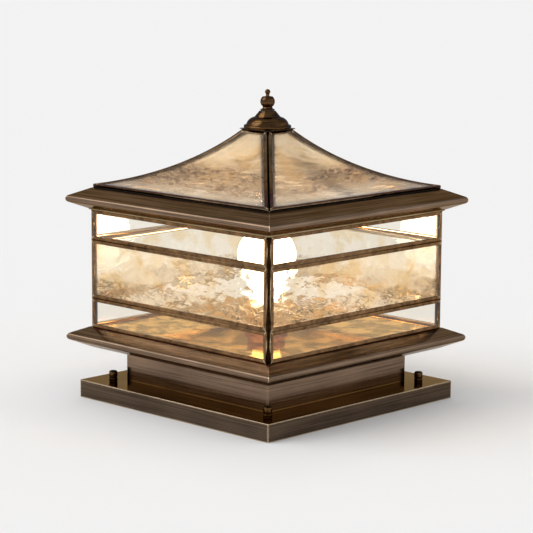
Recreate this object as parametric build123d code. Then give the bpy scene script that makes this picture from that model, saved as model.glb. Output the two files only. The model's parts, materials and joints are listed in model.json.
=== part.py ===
from build123d import *
import math
import os

# Square pillar light. Sizes are millimetres, +Z is up, and the origin is the centre of the underside.
# The four sides face -Y (front), +X (right), +Y (back) and -X (left). A side is drawn once, facing -Y,
# with s as the distance from the middle of the light towards that side, and then turned to its place.

# Square stages: the glazed body, and how far each other stage steps out or in from its neighbour
BODY_WIDTH = 265.0
EAVE_OVERHANG = 17.5
LEDGE_STEP = 20.0
BASE_STEP = 10.0
NECK_STEP = 35.0

# Folded sheet of the base, neck and eaves
SHEET = 1.2
BASE_HEIGHT = 19.0
BASE_EDGE_RADIUS = 0.8
NECK_HEIGHT = 35.2
NECK_EDGE_RADIUS = 1.5
NECK_FOOT_FLANGE = 12.0
NECK_TOP_FLANGE = 20.0

# Eave moulding: a long slope on the ledge side, an upright nose, and a short slope on the body side
EAVE_LONG_SLOPE = 9.2
EAVE_NOSE = 5.2
EAVE_SHORT_SLOPE = 7.8
EAVE_NOSE_FLAT = 0.5
EAVE_BODY_FLANGE = 13.9
EAVE_ROOF_FLANGE = 14.0

# Glass and the brass channel round each pane
GLASS = 2.6
GLASS_FACE_PLAY = 0.1
GLASS_EDGE_PLAY = 0.3
CAME_FACE = 3.8
CAME_DEPTH = 3.6
CAME_WEB = 0.6
CAME_CORNER_RADIUS = 1.0
SOLDER_GAP = 0.3
SOLDER_INSET = 0.6
SOLDER_FILM = 0.1

# Glazed body
END_PANEL_HEIGHT = 31.5
MIDDLE_PANEL_HEIGHT = 62.0
CORNER_NOTCH = 3.7
POST_LEG = 5.0
POST_SHEET = 1.0
FLOOR_SHEET = 1.0
FLOOR_PLAY = 0.3

# Ring on top of the walls, and the strap and rod that hold the lid
RING_SHEET = 1.0
RING_RIM_HEIGHT = 12.0
LID_PLAY = 0.6
STRAP_SHEET = 2.0
STRAP_WIDTH = 16.0
STRAP_EAR = 11.0
ROD_RADIUS = 3.0
ROD_PLAY = 0.4
ROD_TAIL = 1.5
HEX_NUT_RADIUS = 5.77
HEX_NUT_HEIGHT = 5.0
THREAD_PLAY = 0.05

# Roof panels: arcs that sag below the line from the ledge to the crown
ROOF_EDGE_HEIGHT = 3.7
ROOF_RISE = 58.6
ROOF_SAG = 10.2
CROWN_WIDTH = 39.0
HIP_GROOVE = 2.3
RIB_SHEET = 0.8
RIB_LEG = 6.5
RIB_FOOT_GAP = 1.5
HUB_LIP = 1.0
HUB_SHEET = 0.9
HUB_WALL = 2.0
HUB_WALL_HEIGHT = 6.0
HUB_BUSH_RADIUS = 6.0
HUB_BUSH_HEIGHT = 8.0

# Spun cap
CAP_SHEET = 1.0
CAP_RADIUS = 25.0
CAP_BEAD_RADIUS = 1.9
CAP_TIER_FOOT_RADIUS = 22.4
CAP_TIER_TOP_RADIUS = 14.8
CAP_TIER_TOP = 11.6
CAP_TIER_BULGE = 1.5
CAP_STEP_RADIUS = 13.4
CAP_STEP = 12.2
CAP_CROWN_RADIUS = 8.4
CAP_HEIGHT = 18.2

# Finial and the washer under it
WASHER_RADIUS = 6.9
WASHER_THICKNESS = 0.8
FINIAL_FLANGE_RADIUS = 7.5
FINIAL_FLANGE = 0.9
FINIAL_WAIST_RADIUS = 4.9
FINIAL_WAIST = 3.3
FINIAL_BALL_RADIUS = 7.6
FINIAL_BALL = 9.2
FINIAL_LIP_RADIUS = 5.2
FINIAL_LIP = 14.0
FINIAL_DISH = 0.8
FINIAL_COVE_SAG = 0.7
FINIAL_STEM_RADIUS = 1.9
FINIAL_TIP_RADIUS = 2.8
FINIAL_HEIGHT = 21.7
FINIAL_BORE_DEPTH = 12.0
ROD_ENGAGEMENT = 10.5

# Cap nuts on the base
STUD_INSET = 25.0
STUD_RADIUS = 2.5
STUD_HOLE_PLAY = 0.3
STUD_TIP_GAP = 0.5
COLLAR_RADIUS = 4.5
COLLAR_HEIGHT = 2.2
COLLAR_EDGE_RADIUS = 0.5
NUT_RADIUS = 4.5
NUT_NECK_RADIUS = 3.5
NUT_NECK = 0.6
NUT_HEAD = 7.0
NUT_CROWN_RADIUS = 2.0
NUT_EDGE_RADIUS = 0.7
NUT_ROOF = 1.8

# Bracket under the base
BRACKET_INSET = 15.0
BRACKET_BORDER = 65.0
BRACKET_SHEET = 2.0
ANCHOR_INSET = 30.0
ANCHOR_HOLE_RADIUS = 4.5

# Lampholder, its bracket and the bulb
HOLDER_STRAP_INSET = 7.0
HOLDER_STRAP_WIDTH = 30.0
HOLDER_STRAP_SHEET = 2.0
HOLDER_STRAP_HOLE_RADIUS = 7.0
HOLDER_RADIUS = 22.0
HOLDER_RIM_RADIUS = 19.5
HOLDER_RIM_DROP = 3.0
HOLDER_SHOULDER = 30.0
HOLDER_SHOULDER_SLOPE = 2.0
HOLDER_FLOOR = 18.8
HOLDER_HOLE_GAP = 2.0
SHELL_SHEET = 0.9
SHELL_FOOT_GAP = 4.3
SHELL_RIM_GAP = 0.5
SHELL_PLAY = 0.1
CONTACT_RADIUS = 5.0
CONTACT_HEIGHT = 2.5
CONTACT_GAP = 0.3
BULB_CAP_RADIUS = 13.1
BULB_CAP_PLAY = 0.07
BULB_CAP_HEIGHT = 23.0
BULB_CONTACT_RADIUS = 4.5
BULB_CONTACT_HEIGHT = 2.0
BULB_RADIUS = 30.0
BULB_CENTRE = 75.0
BULB_NECK_RADIUS = 13.6
BULB_NECK_HEIGHT = 4.0
BULB_GLASS = 0.8
BULB_SEAT = 0.1

# Wiring
SCREW_RADIUS = 2.0
SCREW_HEAD_RADIUS = 3.8
SCREW_HEAD = 2.4
SCREW_LENGTH = 3.3
SCREW_HOLE_PLAY = 0.1
SCREW_HEAD_EDGE_RADIUS = 0.8
SCREW_INSET = 7.0
SLOT_WIDTH = 0.8
SLOT_DEPTH = 0.9
GROMMET_OFFSET = 50.0
GROMMET_BORE_RADIUS = 4.0
GROMMET_WAIST_RADIUS = 8.0
GROMMET_LIP_RADIUS = 10.0
GROMMET_LIP = 1.5
GROMMET_PLAY = 0.05
BLOCK_LENGTH = 30.0
BLOCK_WIDTH = 18.0
BLOCK_HEIGHT = 16.0
BLOCK_OFFSET = 50.0
BLOCK_POLES = 3
BLOCK_EDGE_RADIUS = 1.0
BLOCK_WELL_RADIUS = 2.6
BLOCK_WELL_DEPTH = 6.0
LEAD_RADIUS = 1.2
LEAD_HEIGHT = 8.0
LEAD_SPREAD = 3.5
LEAD_BEND = 14.0
EARTH_OFFSET = 20.0
EARTH_RING_RADIUS = 4.5
EARTH_RING_SHEET = 0.8
EARTH_BARREL_RADIUS = 1.7
EARTH_BARREL_LENGTH = 4.0
EARTH_LEAD_BEND = 5.0
EARTH_LEAD_RUN = 17.5

# How far every cutting tool runs past what it cuts
OVERRUN = 1.0

# Widths that follow, outside to outside
EAVE_WIDTH = BODY_WIDTH + 2 * EAVE_OVERHANG
LEDGE_WIDTH = EAVE_WIDTH - 2 * LEDGE_STEP
BASE_WIDTH = EAVE_WIDTH - 2 * BASE_STEP
NECK_WIDTH = BASE_WIDTH - 2 * NECK_STEP
WALL_WIDTH = BODY_WIDTH - 2 * CORNER_NOTCH
HUB_WIDTH = CROWN_WIDTH + 2 * HUB_LIP
BRACKET_WIDTH = BASE_WIDTH - 2 * BRACKET_INSET
HOLDER_STRAP_LENGTH = NECK_WIDTH - 2 * HOLDER_STRAP_INSET
STUD_SPACING = BASE_WIDTH - 2 * STUD_INSET

# The nose is rounded at its two bends, which leaves a narrow flat between them
LONG_BEND = math.atan2(LEDGE_STEP, EAVE_LONG_SLOPE)
SHORT_BEND = math.atan2(EAVE_OVERHANG, EAVE_SHORT_SLOPE)
EAVE_NOSE_RADIUS = (EAVE_NOSE - EAVE_NOSE_FLAT) / (math.tan(LONG_BEND / 2) + math.tan(SHORT_BEND / 2))

# Heights that follow from the stack
EAVE_HEIGHT = EAVE_LONG_SLOPE + EAVE_NOSE + EAVE_SHORT_SLOPE
LOWER_EAVE_Z = BASE_HEIGHT + NECK_HEIGHT
BODY_Z = LOWER_EAVE_Z + EAVE_HEIGHT
WALL_HEIGHT = 2 * END_PANEL_HEIGHT + MIDDLE_PANEL_HEIGHT + 2 * SOLDER_GAP
RING_Z = BODY_Z + WALL_HEIGHT
LID_Z = RING_Z + RING_SHEET
ROOF_Z = LID_Z + EAVE_HEIGHT
CROWN_Z = ROOF_Z + ROOF_EDGE_HEIGHT + ROOF_RISE
HUB_Z = CROWN_Z + SOLDER_FILM
CAP_Z = HUB_Z + HUB_SHEET
WASHER_Z = CAP_Z + CAP_HEIGHT
FINIAL_Z = WASHER_Z + WASHER_THICKNESS
HOLDER_Z = LOWER_EAVE_Z + SHEET + HOLDER_STRAP_SHEET
CONTACT_Z = HOLDER_Z + HOLDER_FLOOR
BULB_Z = CONTACT_Z + CONTACT_HEIGHT + CONTACT_GAP
HOLDER_HEIGHT = BULB_Z + BULB_CONTACT_HEIGHT + BULB_CAP_HEIGHT - HOLDER_RIM_DROP - HOLDER_Z
REACH = EAVE_WIDTH + CROWN_Z

# Faces that follow, as distances from the middle, and the sizes of slots and holes
BODY_HALF = BODY_WIDTH / 2
BODY_INSIDE = BODY_HALF - CAME_DEPTH
RIM_OUTSIDE = BODY_HALF - EAVE_BODY_FLANGE - LID_PLAY
RIM_INSIDE = RIM_OUTSIDE - RING_SHEET
CAME_SLOT = GLASS + 2 * GLASS_FACE_PLAY
CAME_LIP = (CAME_DEPTH - CAME_SLOT) / 2
ROD_BORE_RADIUS = ROD_RADIUS + ROD_PLAY
SCREW_HOLE_RADIUS = SCREW_RADIUS + SCREW_HOLE_PLAY

# Roof arc: its centre lies outside the roof, above the chord
ROOF_RUN = (LEDGE_WIDTH - CROWN_WIDTH) / 2
ROOF_CHORD = math.hypot(ROOF_RUN, ROOF_RISE)
ROOF_RADIUS = (ROOF_CHORD**2 / 4 + ROOF_SAG**2) / (2 * ROOF_SAG)
ROOF_CENTRE_S = (LEDGE_WIDTH + CROWN_WIDTH) / 4 + (ROOF_RADIUS - ROOF_SAG) * ROOF_RISE / ROOF_CHORD
ROOF_CENTRE_Z = CROWN_Z - ROOF_RISE / 2 + (ROOF_RADIUS - ROOF_SAG) * ROOF_RUN / ROOF_CHORD
ROOF_FOOT_ANGLE = math.atan2(CROWN_Z - ROOF_RISE - ROOF_CENTRE_Z, LEDGE_WIDTH / 2 - ROOF_CENTRE_S)
ROOF_LENGTH = 2 * ROOF_RADIUS * math.asin(ROOF_CHORD / (2 * ROOF_RADIUS))
# A width square to a hip, on the slope, spreads to this much more along the eave
HIP_SPREAD = math.hypot(ROOF_RUN, ROOF_CHORD) / ROOF_CHORD

SIDES = {"front": 0, "right": 90, "back": 180, "left": 270}
SIDE_PLANE = Plane(origin=(0, 0, 0), x_dir=(0, -1, 0), z_dir=(-1, 0, 0))
FRONT_PLANE = Plane(origin=(0, -BODY_INSIDE, 0), x_dir=(1, 0, 0), z_dir=(0, -1, 0))


def wedge(inset=0.0):
    """Upright triangular column over the front side, its mitre planes moved in along the eave by inset."""
    far = REACH - inset
    plan = make_face(Polyline((0, -inset), (far, -REACH), (-far, -REACH), close=True))
    return extrude(plan, REACH)


def front_side(section, inset=0.0):
    """A section in s and z, run along the front side and mitred at both ends."""
    return extrude(SIDE_PLANE * section, REACH, both=True) & wedge(inset)


def mitred_lengths(section):
    """A section in s and z, run along each side as a length of its own, mitred to its neighbours."""
    side = front_side(section)
    return [Rot(0, 0, angle) * side for angle in SIDES.values()]


def square_ring(section):
    """A section in s and z, run round all four sides in one piece."""
    return Part() + mitred_lengths(section)


def folded(skin, thickness):
    """Outline of a folded sheet. The skin's points are one face, and the sheet lies to their left."""
    normals = []
    for start, end in zip(skin, skin[1:]):
        run = math.hypot(end[0] - start[0], end[1] - start[1])
        normals.append(((start[1] - end[1]) / run, (end[0] - start[0]) / run))
    inner = []
    for place, point in enumerate(skin):
        before = normals[max(place - 1, 0)]
        after = normals[min(place, len(normals) - 1)]
        reach = thickness / (1 + before[0] * after[0] + before[1] * after[1])
        inner.append((point[0] + reach * (before[0] + after[0]), point[1] + reach * (before[1] + after[1])))
    return make_face(Polyline(*skin, *reversed(inner), close=True))


def eave_section(ledge_flange_end):
    """Folded eave with its ledge at height zero and its body side on top."""
    skin = [
        (ledge_flange_end, 0),
        (LEDGE_WIDTH / 2, 0),
        (EAVE_WIDTH / 2, EAVE_LONG_SLOPE),
        (EAVE_WIDTH / 2, EAVE_LONG_SLOPE + EAVE_NOSE),
        (BODY_HALF, EAVE_HEIGHT),
        (BODY_HALF - EAVE_BODY_FLANGE, EAVE_HEIGHT),
    ]
    section = folded(skin, SHEET)
    section = fillet(section.vertices().group_by(Axis.X)[-2], EAVE_NOSE_RADIUS - SHEET)
    return fillet(section.vertices().group_by(Axis.X)[-1], EAVE_NOSE_RADIUS)


def upright_hole(radius, x, y, z, height):
    """Round cutter from z upwards, past both faces."""
    return Pos(x, y, z - OVERRUN) * Cylinder(
        radius, height + 2 * OVERRUN, align=(Align.CENTER, Align.CENTER, Align.MIN)
    )


def column(radius, z, height):
    """Plain cylinder on the axis of the light, standing at z."""
    return Pos(0, 0, z) * Cylinder(radius, height, align=(Align.CENTER, Align.CENTER, Align.MIN))


def slab(length, width, height, z=0.0):
    """Plain box centred on the axis of the light, standing at z."""
    return Pos(0, 0, z) * Box(length, width, height, align=(Align.CENTER, Align.CENTER, Align.MIN))


def turned(lines):
    """Solid of revolution about the axis of the light from lines in radius and height."""
    return revolve(Plane.XZ * make_face(lines), Axis.Z)


def stud_places():
    """Middle of each stud and cap nut."""
    return GridLocations(STUD_SPACING, STUD_SPACING, 2, 2)


def mounting_bracket():
    """Plate that is anchored to the pillar, with the four welded studs that hold the light down."""
    plate = slab(BRACKET_WIDTH, BRACKET_WIDTH, BRACKET_SHEET)
    opening = BRACKET_WIDTH - 2 * BRACKET_BORDER
    plate -= slab(opening, opening, BRACKET_SHEET + OVERRUN)
    for place in PolarLocations(BRACKET_WIDTH / 2 - ANCHOR_INSET, 4):
        plate -= place * upright_hole(ANCHOR_HOLE_RADIUS, 0, 0, 0, BRACKET_SHEET)
    bore_top = BASE_HEIGHT + COLLAR_HEIGHT + NUT_NECK + NUT_HEAD - NUT_ROOF
    stud = column(STUD_RADIUS, 0, bore_top - STUD_TIP_GAP)
    return plate + [place * stud for place in stud_places()]


def base_tray():
    """Square tray, open below, whose top carries the neck and the wiring."""
    tray = slab(BASE_WIDTH, BASE_WIDTH, BASE_HEIGHT)
    tray = fillet(tray.edges().filter_by(Axis.Z) + tray.edges().group_by(Axis.Z)[-1], BASE_EDGE_RADIUS)
    inside = BASE_WIDTH - 2 * SHEET
    tray -= slab(inside, inside, BASE_HEIGHT - SHEET)
    for place in stud_places():
        tray -= place * upright_hole(STUD_RADIUS + STUD_HOLE_PLAY, 0, 0, 0, BASE_HEIGHT)
    tray -= upright_hole(GROMMET_WAIST_RADIUS, 0, -GROMMET_OFFSET, 0, BASE_HEIGHT)
    tray -= upright_hole(SCREW_HOLE_RADIUS, EARTH_OFFSET, 0, 0, BASE_HEIGHT)
    return tray


def neck_box():
    """Square tube with its lower and upper edges turned in."""
    half = NECK_WIDTH / 2
    skin = [
        (half - NECK_FOOT_FLANGE, BASE_HEIGHT),
        (half, BASE_HEIGHT),
        (half, LOWER_EAVE_Z),
        (half - NECK_TOP_FLANGE, LOWER_EAVE_Z),
    ]
    box = square_ring(folded(skin, SHEET))
    upright = box.edges().filter_by(Axis.Z)
    corners = upright.filter_by(lambda edge: abs(edge.center().X) > half - SHEET / 2)
    box = fillet(corners, NECK_EDGE_RADIUS)
    for place in holder_screw_places():
        box -= place * upright_hole(SCREW_HOLE_RADIUS, 0, 0, LOWER_EAVE_Z - SHEET, SHEET)
    return box


def holder_screw_places():
    """The two screws that hold the lampholder's strap to the eave and the neck."""
    return GridLocations(HOLDER_STRAP_LENGTH - 2 * SCREW_INSET, 0, 2, 1)


def lower_eave():
    """Moulding under the walls, its long slope down, in four lengths that meet face to face at the mitres."""
    section = Pos(0, LOWER_EAVE_Z) * eave_section(NECK_WIDTH / 2 - NECK_TOP_FLANGE)
    hole = upright_hole(SCREW_HOLE_RADIUS, 0, 0, LOWER_EAVE_Z, SHEET)
    holes = [place * hole for place in holder_screw_places()]
    return [length - holes for length in mitred_lengths(section)]


def upper_eave():
    """The same moulding the other way up: it sits on the walls and carries the roof."""
    section = eave_section(LEDGE_WIDTH / 2 - EAVE_ROOF_FLANGE)
    return mitred_lengths(Pos(0, ROOF_Z) * mirror(section, Plane.XZ))


def floor_plate():
    """Polished plate inside the walls, with a round hole for the lampholder."""
    width = 2 * (BODY_INSIDE - FLOOR_PLAY)
    plate = slab(width, width, FLOOR_SHEET, BODY_Z)
    return plate - upright_hole(HOLDER_RADIUS + HOLDER_HOLE_GAP, 0, 0, BODY_Z, FLOOR_SHEET)


def corner_posts():
    """Four upright angles that close the inner corners between the walls."""
    height = RING_Z - BODY_Z - FLOOR_SHEET
    outer = BODY_INSIDE
    post = Pos(outer, -outer, BODY_Z + FLOOR_SHEET) * Box(
        POST_LEG, POST_LEG, height, align=(Align.MAX, Align.MIN, Align.MIN)
    )
    post -= Pos(outer - POST_SHEET, POST_SHEET - outer, BODY_Z) * Box(
        POST_LEG, POST_LEG, height + REACH, align=(Align.MAX, Align.MIN, Align.MIN)
    )
    return [Rot(0, 0, angle) * post for angle in SIDES.values()]


def panel_rows():
    """Name, foot and height of each row of glass, from the bottom up."""
    middle = BODY_Z + END_PANEL_HEIGHT + SOLDER_GAP
    upper = middle + MIDDLE_PANEL_HEIGHT + SOLDER_GAP
    return [
        ("lower", BODY_Z, END_PANEL_HEIGHT),
        ("middle", middle, MIDDLE_PANEL_HEIGHT),
        ("upper", upper, END_PANEL_HEIGHT),
    ]


def wall_block(width, foot, height, depth):
    """Block centred in the thickness of the front wall."""
    centre = (0, -BODY_HALF + CAME_DEPTH / 2, foot)
    return Pos(centre) * Box(width, depth, height, align=(Align.CENTER, Align.CENTER, Align.MIN))


def wall_frame():
    """Lattice of the front wall: a channel frame round each pane, soldered edge to edge."""
    lattice = Part()
    for _, foot, height in panel_rows():
        outline = RectangleRounded(WALL_WIDTH, height, CAME_CORNER_RADIUS)
        channel = extrude(FRONT_PLANE * Pos(0, foot + height / 2) * outline, CAME_DEPTH)
        opening = (WALL_WIDTH - 2 * CAME_FACE, foot + CAME_FACE, height - 2 * CAME_FACE)
        channel -= wall_block(*opening, CAME_DEPTH + 2 * OVERRUN)
        channel -= wall_block(WALL_WIDTH - 2 * CAME_WEB, foot + CAME_WEB, height - 2 * CAME_WEB, CAME_SLOT)
        lattice += channel
    for _, foot, _ in panel_rows()[1:]:
        joint_width = WALL_WIDTH - 2 * (CAME_CORNER_RADIUS + SOLDER_INSET)
        lattice += wall_block(joint_width, foot - SOLDER_GAP, SOLDER_GAP, CAME_DEPTH - 2 * SOLDER_INSET)
    return lattice


def wall_pane(foot, height):
    """Flat pane of the front wall, clear of the bottom of its channel."""
    edge = CAME_WEB + GLASS_EDGE_PLAY
    return wall_block(WALL_WIDTH - 2 * edge, foot + edge, height - 2 * edge, GLASS)


def top_ring():
    """Angle ring on the walls: the lid rests on its flat and is located by its upright rim."""
    skin = [(RIM_INSIDE, LID_Z + RING_RIM_HEIGHT), (RIM_INSIDE, RING_Z), (BODY_HALF, RING_Z)]
    ring = square_ring(folded(skin, RING_SHEET))
    return ring - [place * cross_hole() for place in strap_screw_places()]


def strap_z():
    """Underside of the bridge strap, whose top is level with the ring's rim."""
    return LID_Z + RING_RIM_HEIGHT - STRAP_SHEET


def strap_screw_places():
    """Where the two screws pass through the strap's ears and the ring's rim, pointing outwards."""
    z = strap_z() - (STRAP_EAR - STRAP_SHEET) / 2
    return [Pos(RIM_INSIDE, 0, z) * Rot(0, 90, 0), Rot(0, 0, 180) * Pos(RIM_INSIDE, 0, z) * Rot(0, 90, 0)]


def cross_hole():
    """Screw hole through an ear and the rim beside it."""
    depth = STRAP_SHEET + RING_SHEET + 2 * OVERRUN
    return Pos(0, 0, -STRAP_SHEET - OVERRUN) * Cylinder(
        SCREW_HOLE_RADIUS, depth, align=(Align.CENTER, Align.CENTER, Align.MIN)
    )


def bridge_strap():
    """Strap across the ring, with an ear turned down at each end and a hole for the rod."""
    strap = slab(2 * RIM_INSIDE, STRAP_WIDTH, STRAP_EAR, strap_z() + STRAP_SHEET - STRAP_EAR)
    between = 2 * (RIM_INSIDE - STRAP_SHEET)
    strap -= slab(between, STRAP_WIDTH + OVERRUN, STRAP_EAR, strap_z() - STRAP_EAR)
    strap -= upright_hole(ROD_RADIUS + SCREW_HOLE_PLAY, 0, 0, strap_z(), STRAP_SHEET)
    return strap - [place * cross_hole() for place in strap_screw_places()]


def centre_rod():
    """Threaded rod from under the strap up into the finial."""
    foot = strap_z() - HEX_NUT_HEIGHT - ROD_TAIL
    return column(ROD_RADIUS, foot, FINIAL_Z + ROD_ENGAGEMENT - foot)


def rod_nuts():
    """Two hexagon nuts that clamp the rod to the strap from below and above."""
    nut = extrude(RegularPolygon(HEX_NUT_RADIUS, 6), HEX_NUT_HEIGHT)
    nut -= upright_hole(ROD_RADIUS + THREAD_PLAY, 0, 0, 0, HEX_NUT_HEIGHT)
    return [Pos(0, 0, strap_z() - HEX_NUT_HEIGHT) * nut, Pos(0, 0, strap_z() + STRAP_SHEET) * nut]


def roof_point(along, depth):
    """Point of the roof section at a distance up the outer face from its foot, and a depth under it."""
    angle = ROOF_FOOT_ANGLE - along / ROOF_RADIUS
    radius = ROOF_RADIUS + depth
    return ROOF_CENTRE_S + radius * math.cos(angle), ROOF_CENTRE_Z + radius * math.sin(angle)


def roof_band(start, stop, depth, thickness):
    """Curved strip of the roof section between two distances up the slope."""
    middle = (start + stop) / 2
    low = depth + thickness
    outer = ThreePointArc(roof_point(start, depth), roof_point(middle, depth), roof_point(stop, depth))
    inner = ThreePointArc(roof_point(stop, low), roof_point(middle, low), roof_point(start, low))
    return make_face([outer, Line(outer @ 1, inner @ 0), inner, Line(inner @ 1, outer @ 0)])


def roof_sill():
    """Upright edge under the foot of a roof frame, down to the eave."""
    foot = roof_point(0, 0)
    back = roof_point(CAME_FACE, CAME_DEPTH / 2)
    return make_face(Polyline(foot, (foot[0], ROOF_Z), (back[0], ROOF_Z), back, close=True))


def roof_frame():
    """Channel frame round the front roof pane."""
    hip = HIP_GROOVE / 2 * HIP_SPREAD
    frame = front_side(roof_band(0, ROOF_LENGTH, 0, CAME_DEPTH), hip) + front_side(roof_sill(), hip)
    slot = roof_band(CAME_WEB, ROOF_LENGTH - CAME_WEB, CAME_LIP, CAME_SLOT)
    frame -= front_side(slot, hip + CAME_WEB * HIP_SPREAD)
    deep = CAME_DEPTH + 2 * OVERRUN
    opening = roof_band(CAME_FACE, ROOF_LENGTH - CAME_FACE, -OVERRUN, deep)
    return frame - front_side(opening, hip + CAME_FACE * HIP_SPREAD)


def roof_pane():
    """Curved pane of the front roof frame."""
    edge = CAME_WEB + GLASS_EDGE_PLAY
    section = roof_band(edge, ROOF_LENGTH - edge, CAME_LIP + GLASS_FACE_PLAY, GLASS)
    return front_side(section, (HIP_GROOVE / 2 + edge) * HIP_SPREAD)


def roof_spider():
    """Top plate with a bush for the rod, and four hip ribs that carry the frames."""
    throat = roof_point(ROOF_LENGTH, CAME_DEPTH)[0] - SOLDER_GAP
    rib = roof_band(
        CAME_FACE + RIB_FOOT_GAP, ROOF_LENGTH + HUB_WALL, CAME_DEPTH + SOLDER_FILM, RIB_SHEET
    )
    legs = front_side(rib) - front_side(rib, RIB_LEG * HIP_SPREAD)
    spider = Part() + [Rot(0, 0, angle) * legs for angle in SIDES.values()]
    collar = slab(2 * throat, 2 * throat, HUB_WALL_HEIGHT, HUB_Z - HUB_WALL_HEIGHT)
    hollow = 2 * (throat - HUB_WALL)
    spider += collar
    spider -= slab(hollow, hollow, HUB_WALL_HEIGHT + OVERRUN, HUB_Z - HUB_WALL_HEIGHT - OVERRUN)
    spider += slab(HUB_WIDTH, HUB_WIDTH, HUB_SHEET, HUB_Z)
    spider += column(HUB_BUSH_RADIUS, HUB_Z - HUB_BUSH_HEIGHT, HUB_BUSH_HEIGHT)
    return spider - upright_hole(ROD_BORE_RADIUS, 0, 0, HUB_Z - HUB_BUSH_HEIGHT, HUB_BUSH_HEIGHT + HUB_SHEET)


def cap_tiers(inset):
    """The cap's bulging tier and the cone on it, as lines from the rim's top to the crown, moved in by inset."""
    foot = (CAP_TIER_FOOT_RADIUS - inset, 2 * CAP_BEAD_RADIUS)
    ledge = (CAP_TIER_TOP_RADIUS - inset, CAP_TIER_TOP - inset)
    step = (CAP_STEP_RADIUS - inset, CAP_STEP - inset)
    crown = (CAP_CROWN_RADIUS - inset, CAP_HEIGHT - inset)
    return [
        SagittaArc(foot, ledge, -CAP_TIER_BULGE),
        Line(ledge, step),
        Line(step, crown),
        Line(crown, (0, CAP_HEIGHT - inset)),
    ]


def cap():
    """Spun cap: rolled rim, a bulging tier and a cone, hollow below."""
    bead = CAP_RADIUS - CAP_BEAD_RADIUS
    rim_top = (bead, 2 * CAP_BEAD_RADIUS)
    outside = cap_tiers(0)
    rim = [
        Line((0, 0), (bead, 0)),
        ThreePointArc((bead, 0), (CAP_RADIUS, CAP_BEAD_RADIUS), rim_top),
        Line(rim_top, outside[0] @ 0),
    ]
    solid = turned([*rim, *outside, Line((0, CAP_HEIGHT), (0, 0))])
    inside = cap_tiers(CAP_SHEET)
    throat = bead - CAP_BEAD_RADIUS
    hollow = [
        Line((0, -OVERRUN), (throat, -OVERRUN)),
        Line((throat, -OVERRUN), (throat, 2 * CAP_BEAD_RADIUS)),
        Line((throat, 2 * CAP_BEAD_RADIUS), inside[0] @ 0),
    ]
    solid -= turned([*hollow, *inside, Line((0, CAP_HEIGHT - CAP_SHEET), (0, -OVERRUN))])
    solid -= upright_hole(ROD_BORE_RADIUS, 0, 0, 0, CAP_HEIGHT)
    return Pos(0, 0, CAP_Z) * solid


def finial_washer():
    """Sealing washer between cap and finial."""
    washer = column(WASHER_RADIUS, WASHER_Z, WASHER_THICKNESS)
    return washer - upright_hole(ROD_BORE_RADIUS, 0, 0, WASHER_Z, WASHER_THICKNESS)


def finial():
    """Turned finial with a blind threaded bore."""
    tip_z = FINIAL_HEIGHT - FINIAL_TIP_RADIUS
    tip_foot = tip_z - math.sqrt(FINIAL_TIP_RADIUS**2 - FINIAL_STEM_RADIUS**2)
    flange_top = (FINIAL_FLANGE_RADIUS, FINIAL_FLANGE)
    waist = (FINIAL_WAIST_RADIUS, FINIAL_WAIST)
    lip = (FINIAL_LIP_RADIUS, FINIAL_LIP)
    dish = (FINIAL_STEM_RADIUS, FINIAL_LIP - FINIAL_DISH)
    profile = [
        Line((0, 0), (FINIAL_FLANGE_RADIUS, 0)),
        Line((FINIAL_FLANGE_RADIUS, 0), flange_top),
        SagittaArc(flange_top, waist, FINIAL_COVE_SAG),
        ThreePointArc(waist, (FINIAL_BALL_RADIUS, FINIAL_BALL), lip),
        SagittaArc(lip, dish, FINIAL_DISH / 2),
        Line(dish, (FINIAL_STEM_RADIUS, tip_foot)),
        ThreePointArc((FINIAL_STEM_RADIUS, tip_foot), (FINIAL_TIP_RADIUS, tip_z), (0, FINIAL_HEIGHT)),
        Line((0, FINIAL_HEIGHT), (0, 0)),
    ]
    solid = turned(profile)
    solid -= column(ROD_RADIUS + THREAD_PLAY, -OVERRUN, FINIAL_BORE_DEPTH + OVERRUN)
    return Pos(0, 0, FINIAL_Z) * solid


def nut_collar():
    """Captive collar under a cap nut."""
    collar = column(COLLAR_RADIUS, BASE_HEIGHT, COLLAR_HEIGHT)
    collar = fillet(collar.edges(), COLLAR_EDGE_RADIUS)
    return collar - upright_hole(STUD_RADIUS + STUD_HOLE_PLAY, 0, 0, BASE_HEIGHT, COLLAR_HEIGHT)


def cap_nut():
    """Round cap nut: short neck, rounded head and a blind threaded bore."""
    foot = BASE_HEIGHT + COLLAR_HEIGHT
    head = column(NUT_RADIUS, foot + NUT_NECK, NUT_HEAD)
    head = fillet(head.edges().group_by(Axis.Z)[-1], NUT_CROWN_RADIUS)
    head = fillet(head.edges().group_by(Axis.Z)[0], NUT_EDGE_RADIUS)
    nut = head + column(NUT_NECK_RADIUS, foot, NUT_NECK + NUT_EDGE_RADIUS)
    bore = NUT_NECK + NUT_HEAD - NUT_ROOF
    return nut - column(STUD_RADIUS + THREAD_PLAY, foot - OVERRUN, bore + OVERRUN)


def holder_strap():
    """Flat strap across the lower eave, under the lampholder."""
    z = HOLDER_Z - HOLDER_STRAP_SHEET
    strap = slab(HOLDER_STRAP_LENGTH, HOLDER_STRAP_WIDTH, HOLDER_STRAP_SHEET, z)
    strap -= upright_hole(HOLDER_STRAP_HOLE_RADIUS, 0, 0, z, HOLDER_STRAP_SHEET)
    for place in holder_screw_places():
        strap -= place * upright_hole(SCREW_HOLE_RADIUS, 0, 0, LOWER_EAVE_Z, HOLDER_STRAP_SHEET + SHEET)
    return strap


def shell_bore_radius():
    """Inside of the lampholder's brass shell, which takes the bulb's cap."""
    return BULB_CAP_RADIUS + BULB_CAP_PLAY


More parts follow.
